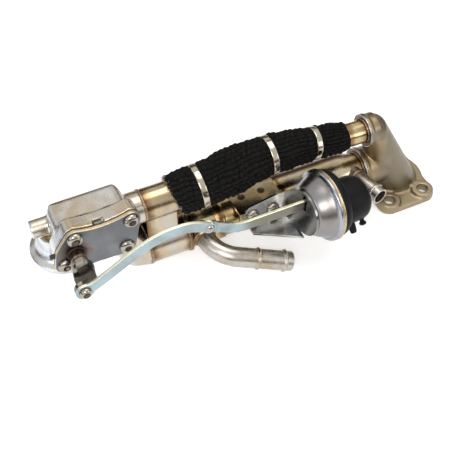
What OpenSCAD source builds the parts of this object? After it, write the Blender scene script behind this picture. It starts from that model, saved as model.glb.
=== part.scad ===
// Exhaust gas recirculation cooler with a bypass tube, a bypass flap and its vacuum actuator.
// The origin is the centre of the outlet port on the outlet flange's face. +X runs away from the valve,
// -Y is the side with the actuator, and +Z points up into the part.

/* [Layout] */
// Height of the cooler's axis above the outlet flange's face
axis_h = 30.5; // [28:0.5:34]
// Height of the bypass axis above the cooler's axis
bypass_rise = 44; // [42:0.5:48]
// Distance from the outlet port to the collars' faces
collar_reach = 36.5; // [35:0.5:40]
// Distance from the outlet port to the cooler's far weld
shell_reach = 196; // [190:1:215]
// Length of the header between the cooler and the valve housing
header_len = 33; // [28:0.5:40]
// Distance from the header to the flap's shaft
shaft_reach = 59; // [58:0.5:62]

/* [Cooler] */
// Outer radius of the cooler's shell
shell_r = 16; // [15.5:0.25:17]
// Wall of the shell, the header and the bypass tube
wall = 1.5; // [1:0.1:2]
// Outer radius of the round neck at the cooler's outlet end
neck_r = 14; // [13.5:0.25:14.75]
// Length of the neck
neck_len = 50; // [40:1:58]
// Length of the taper from the shell to the neck
taper_len = 12; // [8:0.5:18]
// Outer radius of the gas tubes inside
gas_tube_r = 3.1; // [2.5:0.1:3.3]
// Thickness of the plates that hold the gas tubes
tube_plate_t = 3; // [2:0.5:5]

/* [Bypass] */
// Outer radius of the bypass tube
bypass_r = 9.75; // [9:0.25:10.25]
// Rise of the bypass tube's arch between the header and the collector
bow_rise = 8.5; // [6:0.5:10]
// Radius of the insulation sleeve at its thickest place
sleeve_r1 = 18.2; // [17.5:0.1:18.6]
// Radius of the insulation sleeve at its outlet end
sleeve_r2 = 12; // [11.75:0.25:13]
// Distance of the sleeve from each end of the bare tube
sleeve_gap = 17; // [14:0.5:22]
// Width of a clamp band
clamp_w = 5; // [4:0.25:7]
// Thickness of a clamp band
clamp_t = 0.8; // [0.5:0.1:1.2]

/* [Coolant pipes] */
// Outer radius of the coolant pipes
pipe_r = 8; // [7:0.25:8.5]
// Wall of the coolant pipes
pipe_wall = 1.2; // [1:0.1:1.6]
// Centreline radius of the outlet pipe's bend
pipe_bend_r = 24; // [20:0.5:26]
// Length of the outlet pipe past its bend
pipe_len = 45; // [38:1:50]
// Outer radius of the inlet spigot
spigot_r = 7; // [6.5:0.25:7.25]
// Reach of the inlet spigot from the cooler's axis
spigot_reach = 41.5; // [36:0.5:46]
// Height of the beads that hold the hoses
bead_h = 1.1; // [0.6:0.1:1.5]

/* [Valve] */
// Distance of the cover's face from the tubes' plane
cover_face = 24; // [22:0.5:26]
// Thickness of the cover
cover_t = 3; // [2.5:0.25:4]
// Thickness of the cover's gasket
gasket_t = 0.8; // [0.5:0.1:1.2]
// Depth of the housing's rim behind the gasket
rim_depth = 12; // [9:0.5:14]
// Radius of the cover's lobes round its screws
lobe_r = 7.5; // [7:0.25:8.5]
// Radius of the flap's shaft
shaft_r = 4; // [3.6:0.1:4.2]
// Running clearance round the shaft
run_gap = 0.05; // [0.03:0.01:0.08]
// Length of the flap
flap_len = 24; // [20:0.5:25]
// Angle of the closed flap below the level
flap_rest = 26; // [22:1:27]
// Distance between the shaft and the link pin
crank_r = 12.4; // [12:0.1:13]
// Thickness of the crank lever
lever_t = 3; // [2.5:0.1:3.5]
// Outer radius of the inlet flange
inlet_flange_r = 27; // [25:0.25:29]
// Radius of the inlet port
inlet_r = 14; // [12:0.25:15]

/* [Actuator] */
// Distance of the link's plane from the tubes' plane
link_plane = 50; // [49:0.5:53]
// Thickness of the link and the rod
link_t = 2.5; // [2:0.1:3]
// Width of the link and the rod
link_w = 9; // [8:0.25:10]
// Radius of the can's rim
rim_r = 29.25; // [28.5:0.25:31]
// Radius of the can's nose
nose_r = 19.5; // [18.5:0.25:20]
// Depth of the can from its nose to its rim
can_depth = 16.5; // [15:0.5:20]
// Depth of the moulded cap behind the rim
cap_depth = 11; // [10:0.5:14]
// Sheet thickness of the can and of the brackets
sheet_t = 2; // [1.5:0.1:2.5]

/* [Outlet collector] */
// Radius of the outlet port
port_r = 17; // [15:0.25:18]
// Spacing of the outlet flange's bolts along the tubes
bolt_dx = 33; // [32:0.5:36]
// Spacing of the outlet flange's bolts across the tubes
bolt_dy = 52; // [50:0.5:56]
// Radius of the bolt holes
bolt_hole_r = 4.5; // [4:0.1:5]
// Thickness of the outlet flange
flange_t = 5; // [4:0.25:7]
// Height of the pads round the bolt holes
pad_h = 3; // [2:0.25:4]

/* [Hidden] */
$fn = 64;
eps = 0.01;
// Depth by which two forms of one casting run into each other
bite = 2;

// Main stations along X and heights along Z
collar_x = -collar_reach;
shell_x = -shell_reach;
header_x = shell_x - header_len;
shaft_x = header_x - shaft_reach;
bypass_z = axis_h + bypass_rise;
shaft_z = bypass_z + 1.5;
neck_x = collar_x - neck_len;
seat_gap = 0.15;

// Cover and rim: screw places measured from the shaft, in X and Z
screw_places = [[1, 14.6], [43.5, 14.8], [38, -11.3], [-9, -9.3]];
end_r = 15;
screw_head_r = 6.1;
boss_r = 5.2;
cover_back = -cover_face + cover_t;
gasket_back = cover_back + gasket_t;
rim_back = gasket_back + rim_depth;
cover_fillet = 60;
cover_screw_r = 3;

// Housing body and its chamber
body_corner = 8;
body_turn = 14;
body_x0 = shaft_x - 10.5;
body_x1 = header_x + 0.5 - 12;
body_z0 = shaft_z - 18;
body_z1 = shaft_z + 18.5;
body_back = 17;
chamber_x0 = shaft_x - 6.6;
chamber_x1 = body_x1 - 4;
chamber_z0 = shaft_z - 13.5;
chamber_z1 = shaft_z + 10;
chamber_back = body_back - 5;
chamber_turn = 4;
bypass_neck_r = bypass_r + 3;
cooler_neck_r = shell_r + 1;
bypass_bore = bypass_r - wall;
cooler_bore = cooler_neck_r - 4.5;
inlet_y = 12;
inlet_x = shaft_x - 1;
inlet_z = 43.5;
inlet_neck_r = inlet_r + 5;
stub_r = 7;
stub_len = 13;
stub_y = 11;
stub_z = shaft_z - 0.5;
stub_hole_r = 3.4;
stub_hole_depth = 12;

// Shaft stack, along -Y from the cover
bush_r = 5.7;
bush_len = 9;
seal_r = 6.7;
seal_t = 1.4;
shaft_end = -cover_face - 17.5;
shaft_back = chamber_back + 2.5;
lever_y = shaft_end + 0.5;
lever_w = 16;
pin_r = 3;
pin_angle = 17.4;
pin_x = shaft_x - crank_r * sin(pin_angle);
pin_z = shaft_z - crank_r * cos(pin_angle);
link_front = -link_plane - link_t / 2;
link_back = -link_plane + link_t / 2;

// Link and rod: one arched line from the pin, with the lap joint on its falling side
arch_rise = 30.5;
arch_x0 = pin_x + 68;
arch_x1 = pin_x + 75;
link_end_x = pin_x + 97.5;
rod_bend_x = pin_x + 128.5;
rod_z = pin_z + 6.3;
link_eye_r = 7;
link_gap = 0.3;

// Actuator place and tilt: its axis leans a little towards the viewer and up
nose_x = pin_x + 178;
nose_z = pin_z - 3;
slot_lift = rod_z - nose_z;
slot_side = 1.6;
lean_y = 5;
lean_z = 5;
can_t = 1.2;
roll_t = 2.4;
cap_r = 24;
cover_cap_r = 18;
cover_cap_t = 19.5;
cover_cap_shift = 4;
nipple_r = 2.5;

// Brackets
leg_y = -shell_r - 4;
leg_top = axis_h + 31;
leg_fall = 5.5;
floor_z = axis_h + 7;
bracket_x0 = nose_x - 38;
leg_x1 = nose_x - 4;
bracket_screw_x = [nose_x - 32, nose_x - 14.5];
bracket_screw_z = axis_h + 15.5;
saddle_x0 = nose_x - 42;
saddle_x1 = nose_x - 2;

// Elbow at the top of the collector's trunk
elbow_r = 13.5;
elbow_x = collar_x + 11;

// Header plates and gas tubes
tube_pitch = 8.4;
outlet_pipe_x = shell_x + 11;
outlet_pipe_z = axis_h + 4;
pipe_root = shell_r + 3.7;
pipe_dir = [0.92, -0.28, -0.29];
spigot_lift = 6;
spigot_x = collar_x - spigot_r - 4.4;
spigot_yaw = 12.7;
spigot_z = axis_h + spigot_lift;
bead_back = 6.5;
clamp_at = [0.14, 0.54, 0.8];
sleeve_x0 = header_x + sleeve_gap + 9;
sleeve_x1 = collar_x - sleeve_gap;

function unit(v) = v / norm(v);
function sleeve_r(t) = lookup(t, [[0, sleeve_r1 - 2.4], [0.14, sleeve_r1 - 0.4], [0.33, sleeve_r1],
  [0.54, sleeve_r1 - 2.1], [0.8, sleeve_r2 + 1.3], [1, sleeve_r2]]);

// Arch of the bypass tube: its height and its slope at x
bow_x0 = header_x + header_len;
bow_x1 = collar_x - 1.5;
function bow(x) = x < bow_x0 || x > bow_x1 ? 0
  : bow_rise * (1 - cos(360 * (x - bow_x0) / (bow_x1 - bow_x0))) / 2;
function bow_tilt(x) = atan((bow(x + 0.1) - bow(x - 0.1)) / 0.2);
function bow_point(x, r, b, lean) = let (t = bow_tilt(x), u = r * cos(b))
  [x - u * sin(t) - u * lean, r * sin(b), bypass_z + bow(x) + u * cos(t)];

// A tube swept along the arch; each station is [x, outer radius, inner radius, lean of its section]
module bow_sweep(stations, sides = 32) {
  n = len(stations);
  rings = concat([for (q = stations) [q[0], q[1], q[3]]],
    [for (i = [n - 1:-1:0]) [stations[i][0], stations[i][2], stations[i][3]]]);
  pts = [for (q = rings, j = [0:sides - 1]) bow_point(q[0], q[1], 360 * j / sides, q[2])];
  polyhedron(points = pts, faces = [for (i = [0:2 * n - 1], j = [0:sides - 1], h = [0, 1])
    let (k = (j + 1) % sides, a = i * sides, b = ((i + 1) % (2 * n)) * sides)
    h == 0 ? [a + j, a + k, b + k] : [a + j, b + k, b + j]]);
}

// Places its children on the arch at x, turned along it
module on_bow(x) {
  translate([x, 0, bypass_z + bow(x)]) rotate([0, -bow_tilt(x), 0]) children();
}

// A cylinder along X from x0 to x1
module along_x(x0, x1, r, y = 0, z = 0, r2 = -1) {
  translate([x0, y, z]) rotate([0, 90, 0]) cylinder(h = x1 - x0, r1 = r, r2 = r2 < 0 ? r : r2);
}

// A cylinder along Y from y0 to y1
module along_y(y0, y1, r, x = 0, z = 0, r2 = -1) {
  translate([x, y0, z]) rotate([-90, 0, 0]) cylinder(h = y1 - y0, r1 = r, r2 = r2 < 0 ? r : r2);
}

// A flat outline drawn in X and Z, thickened from y0 to y1
module wall_xz(y0, y1) {
  translate([0, y1, 0]) rotate([90, 0, 0]) linear_extrude(y1 - y0) children();
}

// A solid of revolution about X, drawn as [x, r] points
module turned_x(points) {
  rotate([90, 0, 90]) rotate_extrude() polygon([for (p = points) [p[1], p[0]]]);
}

// Button head with a washer flange, its seat at the origin, standing along -Y
module button_screw(head_r, shank_r, shank_len) {
  rotate([90, 0, 0]) {
    cylinder(h = 0.9, r = head_r);
    difference() {
      translate([0, 0, 0.9 - eps]) rotate_extrude() intersection() {
        translate([0, -head_r * 0.72]) circle(r = head_r * 1.16);
        square([head_r * 0.86, head_r * 0.5]);
      }
      translate([0, 0, 1.6]) cylinder(h = head_r, r = head_r * 0.34, $fn = 6);
    }
    translate([0, 0, -shank_len]) cylinder(h = shank_len + eps, r = shank_r);
  }
}

// Outline shared by the cover, its gasket and the housing's rim: round end, straight foot, waisted top
module cover_outline() {
  translate([shaft_x, shaft_z]) offset(r = -cover_fillet) offset(r = cover_fillet) union() {
    polygon(screw_places);
    hull() {
      circle(r = end_r, $fn = 48);
      lobe(0);
      lobe(3);
    }
    hull() {
      lobe(3);
      lobe(2);
    }
    hull() {
      lobe(2);
      lobe(1);
    }
  }
}

module lobe(i) {
  translate(screw_places[i]) circle(r = lobe_r, $fn = 40);
}

module cover_holes(y0, y1, r) {
  for (p = screw_places) along_y(y0, y1, r, shaft_x + p[0], shaft_z + p[1]);
}

// Chamber in X and Z, clear of the screw bosses
module chamber_outline() {
  difference() {
    translate([chamber_x0, chamber_z0]) square([chamber_x1 - chamber_x0, chamber_z1 - chamber_z0]);
    for (p = screw_places) translate([shaft_x + p[0], shaft_z + p[1]]) circle(r = boss_r);
  }
}

module chamber() {
  intersection() {
    wall_xz(gasket_back - 1, chamber_back) chamber_outline();
    translate([0, 0, chamber_z0 - 1]) linear_extrude(chamber_z1 - chamber_z0 + 2)
      round_rect([chamber_x0, gasket_back - 3 * chamber_turn], [chamber_x1, chamber_back], chamber_turn);
  }
}

// A rectangle from a to b with rounded corners
module round_rect(a, b, r) {
  translate([a[0] + r, a[1]]) square([b[0] - a[0] - 2 * r, b[1] - a[1]]);
  translate([a[0], a[1] + r]) square([b[0] - a[0], b[1] - a[1] - 2 * r]);
  for (x = [a[0] + r, b[0] - r], y = [a[1] + r, b[1] - r]) translate([x, y]) circle(r = r);
}

// Body behind the rim, rounded along its depth and at its back
module housing_body() {
  y0 = rim_back - bite;
  intersection() {
    wall_xz(y0, body_back) round_rect([body_x0, body_z0], [body_x1, body_z1], body_corner);
    translate([0, 0, body_z0 - 1]) linear_extrude(body_z1 - body_z0 + 2)
      round_rect([body_x0, y0 - 2 * body_turn], [body_x1, body_back], body_turn);
    translate([body_x0 - 1, 0, 0]) rotate([90, 0, 90]) linear_extrude(body_x1 - body_x0 + 2)
      round_rect([y0 - 2 * body_corner, body_z0], [body_back, body_z1], body_corner);
  }
}

// Cast housing: rim, body, two outlet necks, inlet neck with its clamp flange, and the fixing stub
module valve_housing() {
  color([0.78, 0.74, 0.67]) difference() {
    union() {
      wall_xz(gasket_back, rim_back) cover_outline();
      housing_body();
      along_x(body_x1 - body_corner, header_x - seat_gap, bypass_neck_r, 0, bypass_z);
      hull() {
        along_x(header_x - 4, header_x - seat_gap, cooler_neck_r, 0, axis_h, $fn = 32);
        translate([header_x - 7, 0, axis_h]) sphere(r = cooler_neck_r - 1, $fn = 32);
        translate([body_x1 - 26, -8, body_z0 + 4]) cube([20, 16, 4]);
      }
      inlet_neck();
      along_x(body_x0 - stub_len, body_x0 + 12, stub_r, stub_y, stub_z);
    }
    chamber();
    translate([header_x - seat_gap, -20, axis_h - 20]) cube([20, 40, 40]);
    along_x(chamber_x1 - 1, header_x, bypass_bore, 0, bypass_z);
    along_x(header_x - 12, header_x, cooler_bore, 0, axis_h);
    hull() {
      along_x(header_x - 12 - eps, header_x - 11, cooler_bore, 0, axis_h, $fn = 32);
      translate([chamber_x1 - 20, -9, chamber_z0 - eps]) cube([18, 16, 1]);
    }
    translate([inlet_x, inlet_y, inlet_z - 1]) cylinder(h = chamber_z0 - inlet_z + 2, r = inlet_r);
    along_x(body_x0 - stub_len - 1, body_x0 - stub_len + stub_hole_depth, stub_hole_r, stub_y, stub_z);
    along_y(chamber_back - 1, shaft_back + 0.5, shaft_r + run_gap, shaft_x, shaft_z);
    cover_holes(gasket_back - 1, gasket_back + 11, cover_screw_r - 0.5);
    translate([shaft_x + 21, gasket_back + 1.5, shaft_z + 18.9]) cube([8, 5, 4], center = true);
  }
}

module inlet_neck() {
  translate([inlet_x, inlet_y, inlet_z]) rotate_extrude() difference() {
    polygon([[0, 0], [inlet_flange_r, 0], [inlet_flange_r, 4], [inlet_flange_r - 5, 7],
      [inlet_neck_r + 1.5, 9], [inlet_neck_r, 12], [inlet_neck_r - 1, 24], [0, 24]]);
    translate([inlet_neck_r + 5, 11.5]) circle(r = 4.2);
  }
}

module cover_gasket() {
  color([0.12, 0.11, 0.1]) difference() {
    wall_xz(cover_back, gasket_back) difference() {
      union() {
        cover_outline();
        translate([shaft_x - end_r - 3.5, shaft_z - 2]) square([6, 5]);
      }
      chamber_outline();
    }
    cover_holes(cover_back - 1, gasket_back + 1, cover_screw_r + 0.3);
  }
}

module valve_cover() {
  color([0.62, 0.65, 0.67]) difference() {
    wall_xz(-cover_face, cover_back) cover_outline();
    cover_holes(-cover_face - 1, cover_back + 1, cover_screw_r + 0.3);
    along_y(-cover_face - 1, cover_back + 1, bush_r - 0.6, shaft_x, shaft_z);
  }
}

module cover_screws() {
  color([0.75, 0.73, 0.7]) for (p = screw_places)
    translate([shaft_x + p[0], -cover_face, shaft_z + p[1]])
      button_screw(screw_head_r, cover_screw_r - 0.55, cover_t + gasket_t + 9);
}

// Flanged bush in the cover, with a ring seal round it
module shaft_bush() {
  color([0.5, 0.38, 0.28]) difference() {
    union() {
      along_y(-cover_face - bush_len, -cover_face, bush_r, shaft_x, shaft_z);
      along_y(-cover_face - eps, cover_back, bush_r - 0.65, shaft_x, shaft_z);
    }
    along_y(-cover_face - bush_len - 1, cover_back + 1, shaft_r + run_gap, shaft_x, shaft_z);
  }
}

module shaft_seal() {
  color([0.08, 0.07, 0.07]) difference() {
    along_y(-cover_face - seal_t, -cover_face, seal_r, shaft_x, shaft_z);
    along_y(-cover_face - seal_t - 1, -cover_face + 1, bush_r + 0.05, shaft_x, shaft_z);
  }
}

module flap_shaft() {
  color([0.6, 0.58, 0.55]) {
    along_y(shaft_end, shaft_back, shaft_r, shaft_x, shaft_z);
    along_y(-cover_face - bush_len - 3.4, -cover_face - bush_len - 0.3, bush_r + 0.6, shaft_x, shaft_z);
  }
}

// Flap plate with a sleeve round the shaft; closed it leans down by flap_rest
module bypass_flap() {
  sleeve_y0 = gasket_back + 1.5;
  sleeve_y1 = chamber_back - 2.5;
  color([0.55, 0.53, 0.5]) translate([shaft_x, 0, shaft_z]) rotate([0, flap_rest, 0]) difference() {
    union() {
      along_y(sleeve_y0, sleeve_y1, shaft_r + 2);
      translate([0, sleeve_y0, -1.25]) cube([flap_len, sleeve_y1 - sleeve_y0, 2.5]);
    }
    along_y(sleeve_y0 - 1, sleeve_y1 + 1, shaft_r + 0.02);
  }
}

// Pressed lever: a flat on the shaft's end, a step out along -Y, and an eye for the link pin
module crank_lever() {
  step_z = shaft_z - lever_w / 2;
  eye_r = lever_w / 2 - 1;
  color([0.42, 0.42, 0.42]) difference() {
    union() {
      wall_xz(lever_y, lever_y + lever_t) translate([shaft_x, shaft_z]) union() {
        circle(r = lever_w / 2);
        translate([-lever_w / 2, -lever_w / 2]) square([lever_w, lever_w / 2]);
      }
      translate([shaft_x - lever_w / 2, link_back, step_z - lever_t + eps])
        cube([lever_w, lever_y + lever_t - link_back, lever_t]);
      wall_xz(link_back + link_gap, link_back + lever_t) hull() {
        translate([pin_x, pin_z]) circle(r = eye_r, $fn = 40);
        translate([shaft_x - lever_w / 2, step_z - lever_t]) square([lever_w, lever_t]);
      }
    }
    along_y(lever_y - 1, lever_y + lever_t + 1, shaft_r + 0.02, shaft_x, shaft_z);
    along_y(link_back - 1, link_back + lever_t + 2.5, pin_r + 0.02, pin_x, pin_z);
    translate([shaft_x - lever_w, link_front - 1, step_z - 30])
      cube([2 * lever_w, link_t + 1 + link_gap, 60]);
  }
}

module link_pin() {
  color([0.7, 0.68, 0.62]) translate([pin_x, link_front - link_gap, pin_z]) rotate([90, 0, 0]) {
    translate([0, 0, -link_t - lever_t - 1.5]) cylinder(h = link_t + lever_t + 1.5 + eps, r = pin_r);
    rotate_extrude() intersection() {
      translate([0, -2.6]) circle(r = 5.5);
      square([4.8, 4]);
    }
  }
}

// Centreline of the link and the rod: a quick rise from the pin, a short crest and an even fall
function smooth(t) = t * t * (3 - 2 * t);
function ease(t) = (sin(90 * t) + smooth(t)) / 2;
arch_top = pin_z + arch_rise;
function arch_z(x) = x < arch_x0 ? pin_z + arch_rise * ease((x - pin_x) / (arch_x0 - pin_x))
  : x < arch_x1 ? arch_top
  : x < rod_bend_x ? arch_top + (rod_z - arch_top) * smooth((x - arch_x1) / (rod_bend_x - arch_x1))
  : rod_z;
strip_steps = 28;

// Flat strip of one width along the centreline from x0 to x1
module strip(x0, x1) {
  pts = [for (i = [0:strip_steps]) let (x = x0 + (x1 - x0) * i / strip_steps) [x, arch_z(x)]];
  side = [for (i = [0:strip_steps]) let (a = pts[max(i - 1, 0)], b = pts[min(i + 1, strip_steps)])
    unit([a[1] - b[1], b[0] - a[0]]) * link_w / 2];
  polygon(concat(pts + side, [for (i = [strip_steps:-1:0]) pts[i] - side[i]]));
}
lap_z = arch_z(link_end_x);

module pull_link() {
  color([0.72, 0.76, 0.77]) difference() {
    union() {
      wall_xz(link_front, link_back) strip(pin_x, link_end_x);
      along_y(link_front, link_back, link_eye_r, pin_x, pin_z);
      along_y(link_front, link_back, link_w / 2 + 0.3, link_end_x, lap_z);
    }
    along_y(link_front - 1, link_back + 1, pin_r + run_gap, pin_x, pin_z);
    along_y(link_front - 1, link_back + 1, 2, link_end_x, lap_z);
  }
}

// Flat rod behind the link's end: it falls to the nose's height and enters the slot to the piston plate
module actuator_rod() {
  y0 = link_back + 0.02;
  y1 = link_back + link_t;
  color([0.7, 0.74, 0.75]) difference() {
    union() {
      wall_xz(y0, y1) strip(link_end_x, nose_x + 2.2);
      along_y(y0, y1, link_w / 2 + 0.3, link_end_x, lap_z);
    }
    along_y(y0 - 1, y1 + 1, 2, link_end_x, lap_z);
  }
}

module link_rivet() {
  color([0.85, 0.87, 0.87]) translate([link_end_x, link_front, lap_z]) rotate([90, 0, 0]) {
    translate([0, 0, -2 * link_t]) cylinder(h = 2 * link_t + eps, r = 1.98);
    rotate_extrude() intersection() {
      translate([0, -2.2]) circle(r = 4.2);
      square([3.6, 3]);
    }
  }
}

// The actuator is drawn with its nose plate at x = 0 and its axis along +X
module at_actuator() {
  translate([nose_x, -link_plane + link_t, nose_z]) rotate([0, lean_z, lean_y]) children();
}

module piston_plate() {
  color([0.7, 0.7, 0.7]) at_actuator() difference() {
    union() {
      along_x(4.2, 5.7, nose_r - 3);
      along_x(2.5, 4.3, 5);
    }
    along_x(3, 4.21, 0.5);
  }
}

module diaphragm() {
  color([0.1, 0.1, 0.1]) at_actuator() turned_x([[can_depth - 0.4, rim_r - 3.5],
    [can_depth - 0.4, nose_r + 5], [8, nose_r + 0.5], [5.8, nose_r - 2], [5.8, 0], [7, 0],
    [7, nose_r - 2.6], [9, nose_r - 0.6],
    [can_depth + 0.6, nose_r + 4.4], [can_depth + 0.6, rim_r - 3.5]]);
}

// Coil swept as one closed tube along a helix about the actuator's axis
spring_r = 11;
spring_wire = 0.9;
spring_turns = 4;
spring_steps = 72;
spring_sides = 8;
function spring_point(i, j, x0, x1) = let (a = 360 * spring_turns * i / spring_steps,
  b = 360 * j / spring_sides, r = spring_r + spring_wire * cos(b))
  [x0 + (x1 - x0) * i / spring_steps + spring_wire * sin(b), r * cos(a), r * sin(a)];
module return_spring() {
  x0 = 7 + spring_wire + seat_gap;
  x1 = can_depth + cap_depth - sheet_t - spring_wire - seat_gap;
  pts = [for (i = [0:spring_steps], j = [0:spring_sides - 1]) spring_point(i, j, x0, x1)];
  n = spring_sides;
  sides = [for (i = [0:spring_steps - 1], j = [0:n - 1]) let (k = (j + 1) % n, m = i + 1)
    [i * n + j, i * n + k, m * n + k, m * n + j]];
  first = [for (j = [n - 1:-1:0]) j];
  last = [for (j = [0:n - 1]) spring_steps * n + j];
  color([0.6, 0.6, 0.6]) at_actuator() polyhedron(points = pts, faces = concat([first], sides, [last]));
}

// Pressed can: nose with the rod slot, flared skirt and a rolled rim
module actuator_can() {
  color([0.75, 0.75, 0.77]) at_actuator() difference() {
    turned_x([[0, 0], [0, nose_r - 1], [1, nose_r], [can_depth - 7, nose_r + 5],
      [can_depth - 3, nose_r + 7.6], [can_depth - 1.4, rim_r - 1], [can_depth - 1, rim_r],
      [can_depth + roll_t, rim_r],
      [can_depth + roll_t, rim_r - 3], [can_depth + 0.7, rim_r - 3], [can_depth - 0.5, rim_r - 3.2],
      [can_depth - 1.9, nose_r + 6.5], [can_depth - 6, nose_r + 3.8], [2, nose_r - 1.2], [can_t, nose_r - 2],
      [can_t, 0]]);
    rod_slot(-1, can_t + 2);
  }
}

// Slot for the rod, with room for its small sideways travel
module rod_slot(x, depth) {
  translate([x, -link_t / 2 - slot_side, slot_lift - link_w / 2 - slot_side])
    cube([depth, link_t + 2 * slot_side, link_w + 2 * slot_side + 1.4]);
}

// Moulded cap: flange under the rolled rim, barrel, and the hose nipple with its barb
module actuator_cap() {
  back = can_depth + cap_depth;
  color([0.06, 0.06, 0.06]) at_actuator() difference() {
    union() {
      turned_x([[can_depth + 0.7, nose_r + 4.6], [can_depth + 0.7, rim_r - 3.1],
        [can_depth + roll_t, rim_r - 3.1], [can_depth + roll_t + 1.4, cap_r + 1.5], [can_depth + 6, cap_r],
        [back - 1.5, cap_r - 0.6], [back, cap_r - 2.5], [back, 0], [back - sheet_t, 0],
        [back - sheet_t, cap_r - 3.5], [can_depth + 3, cap_r - 2.8]]);
      at_nipple(0) cylinder(h = cap_r + 2, r = nipple_r - 0.25);
      at_nipple(cap_r + 0.8) cylinder(h = 1.2, r = nipple_r + 0.8);
      at_nipple(cap_r + 2 - eps) cylinder(h = 5 + eps, r = nipple_r);
    }
    at_nipple(cap_r - 4) cylinder(h = 20, r = nipple_r - 1.1);
    along_x(can_depth + 4, back - sheet_t, cap_r - 4);
  }
}

// Nipple's line: along -Z under the cap, from a distance z below the actuator's axis
module at_nipple(z) {
  translate([can_depth + cap_depth - 5, -9, -z]) rotate([180, 0, 0]) children();
}

// Rear cover: a lobe set a little to the viewer's side of the axis, with a hook under it
module cap_cover() {
  x0 = can_depth + cap_depth + 0.05;
  x1 = x0 + cover_cap_t;
  color([0.05, 0.05, 0.05]) at_actuator() translate([0, -cover_cap_shift, 0]) difference() {
    union() {
      turned_x([[x0, 0], [x0, cover_cap_r], [x1 - 6, cover_cap_r - 0.4], [x1 - 2.6, cover_cap_r - 1.8],
        [x1 - 0.6, cover_cap_r - 4.6], [x1, cover_cap_r - 8], [x1, 0]]);
      translate([x0 + 4, -4, -cover_cap_r - 4]) cube([5, 7, 10]);
    }
    along_x(x0 - 1, x1 - 3, cover_cap_r - 7);
    along_x(x0 - 1, x1 - 8, cover_cap_r - 3);
  }
}

// Folded bracket: leg with two screws, floor under the rod and a plate behind the can's nose
module actuator_bracket() {
  color([0.72, 0.72, 0.73]) difference() {
    union() {
      wall_xz(leg_y - sheet_t, leg_y) polygon([[bracket_x0, floor_z], [leg_x1, floor_z], [leg_x1, leg_top],
        [bracket_x0 + 3, leg_top - leg_fall], [bracket_x0, leg_top - leg_fall - 3]]);
      translate([0, 0, floor_z]) linear_extrude(sheet_t) polygon([[bracket_x0, leg_y],
        [bracket_x0 + 1, leg_y - 14], [nose_x - 2.5, -link_plane - 4], [nose_x - 2.5, leg_y]]);
      at_actuator() hull() {
        along_x(-sheet_t - 0.05, -0.05, nose_r - 0.5, $fn = 48);
        translate([-sheet_t - 0.05, 6, floor_z - nose_z + 1])
          cube([sheet_t, link_plane + leg_y - 6 - link_t, 20]);
      }
    }
    at_actuator() rod_slot(-sheet_t - 1, sheet_t + 2);
    for (x = bracket_screw_x) along_y(leg_y - sheet_t - 1, leg_y + 1, 3.3, x, bracket_screw_z);
  }
}

module bracket_screws() {
  color([0.78, 0.77, 0.75]) for (x = bracket_screw_x)
    translate([x, leg_y - sheet_t, bracket_screw_z]) button_screw(5.8, 2.5, 2 * sheet_t);
}

// Saddle welded on the shell: flat strip over the top, sloping front and a flange for the screws
module saddle_bracket() {
  top = axis_h + shell_r + seat_gap;
  front = leg_y + sheet_t;
  low = floor_z + sheet_t;
  color([0.74, 0.66, 0.5]) difference() {
    translate([saddle_x0, 0, 0]) rotate([90, 0, 90]) linear_extrude(saddle_x1 - saddle_x0)
      polygon([[7, top], [front, top], [front, low], [leg_y, low], [leg_y, top + sheet_t],
        [7, top + sheet_t]]);
    for (x = bracket_screw_x) along_y(leg_y - 1, front + 1, 2.55, x, bracket_screw_z);
    for (x = bracket_screw_x) translate([x - 1, -3, top - 1]) cylinder(h = sheet_t + 2, r = 2);
  }
}

// Shell with a swaged ring, a taper to its neck, and a drawn collar for the outlet pipe
module cooler_shell() {
  x1 = neck_x - taper_len;
  r = shell_r;
  bore_r = pipe_r - pipe_wall;
  color([0.7, 0.6, 0.42]) difference() {
    union() {
      translate([0, 0, axis_h]) turned_x([[shell_x, 0], [shell_x, r], [shell_x + 24, r],
        [shell_x + 26, r + 1], [shell_x + 30, r + 1], [shell_x + 32, r], [x1, r],
        [neck_x, neck_r], [collar_x + 5, neck_r],
        [collar_x + 5, 0]]);
      along_y(-pipe_root + seat_gap, -5, pipe_r + 0.6, outlet_pipe_x, outlet_pipe_z);
    }
    translate([0, 0, axis_h]) turned_x([[shell_x - 1, 0], [shell_x - 1, r - wall], [x1, r - wall],
      [neck_x, neck_r - wall], [collar_x + 6, neck_r - wall], [collar_x + 6, 0]]);
    along_y(-pipe_root - 1, 0, bore_r, outlet_pipe_x, outlet_pipe_z);
    spigot_frame() along_y(-neck_r - 3, 0, spigot_r - pipe_wall);
  }
}

// Gas tubes on a hexagonal pitch: one ring round a middle tube
tube_places = concat([[0, 0]], [for (a = [0:60:300]) tube_pitch * [cos(a), sin(a)]]);

module tube_plate(x, r) {
  difference() {
    along_x(x, x + tube_plate_t, r, 0, axis_h);
    for (p = tube_places) along_x(x - 1, x + tube_plate_t + 1, gas_tube_r + 0.02, p[0], axis_h + p[1]);
  }
}

inlet_plate_x = shell_x + 0.5;
outlet_plate_x = collar_x - 1 - tube_plate_t;

module tube_plate_inlet() {
  color([0.7, 0.68, 0.63]) tube_plate(inlet_plate_x, shell_r - wall - 0.05);
}

module tube_plate_outlet() {
  color([0.7, 0.68, 0.63]) tube_plate(outlet_plate_x, neck_r - wall - 0.05);
}

module gas_tubes() {
  color([0.72, 0.7, 0.66]) for (p = tube_places) difference() {
    along_x(inlet_plate_x, outlet_plate_x + tube_plate_t, gas_tube_r, p[0], axis_h + p[1]);
    along_x(inlet_plate_x - 1, outlet_plate_x + tube_plate_t + 1, gas_tube_r - 0.6, p[0], axis_h + p[1]);
  }
}

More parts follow.
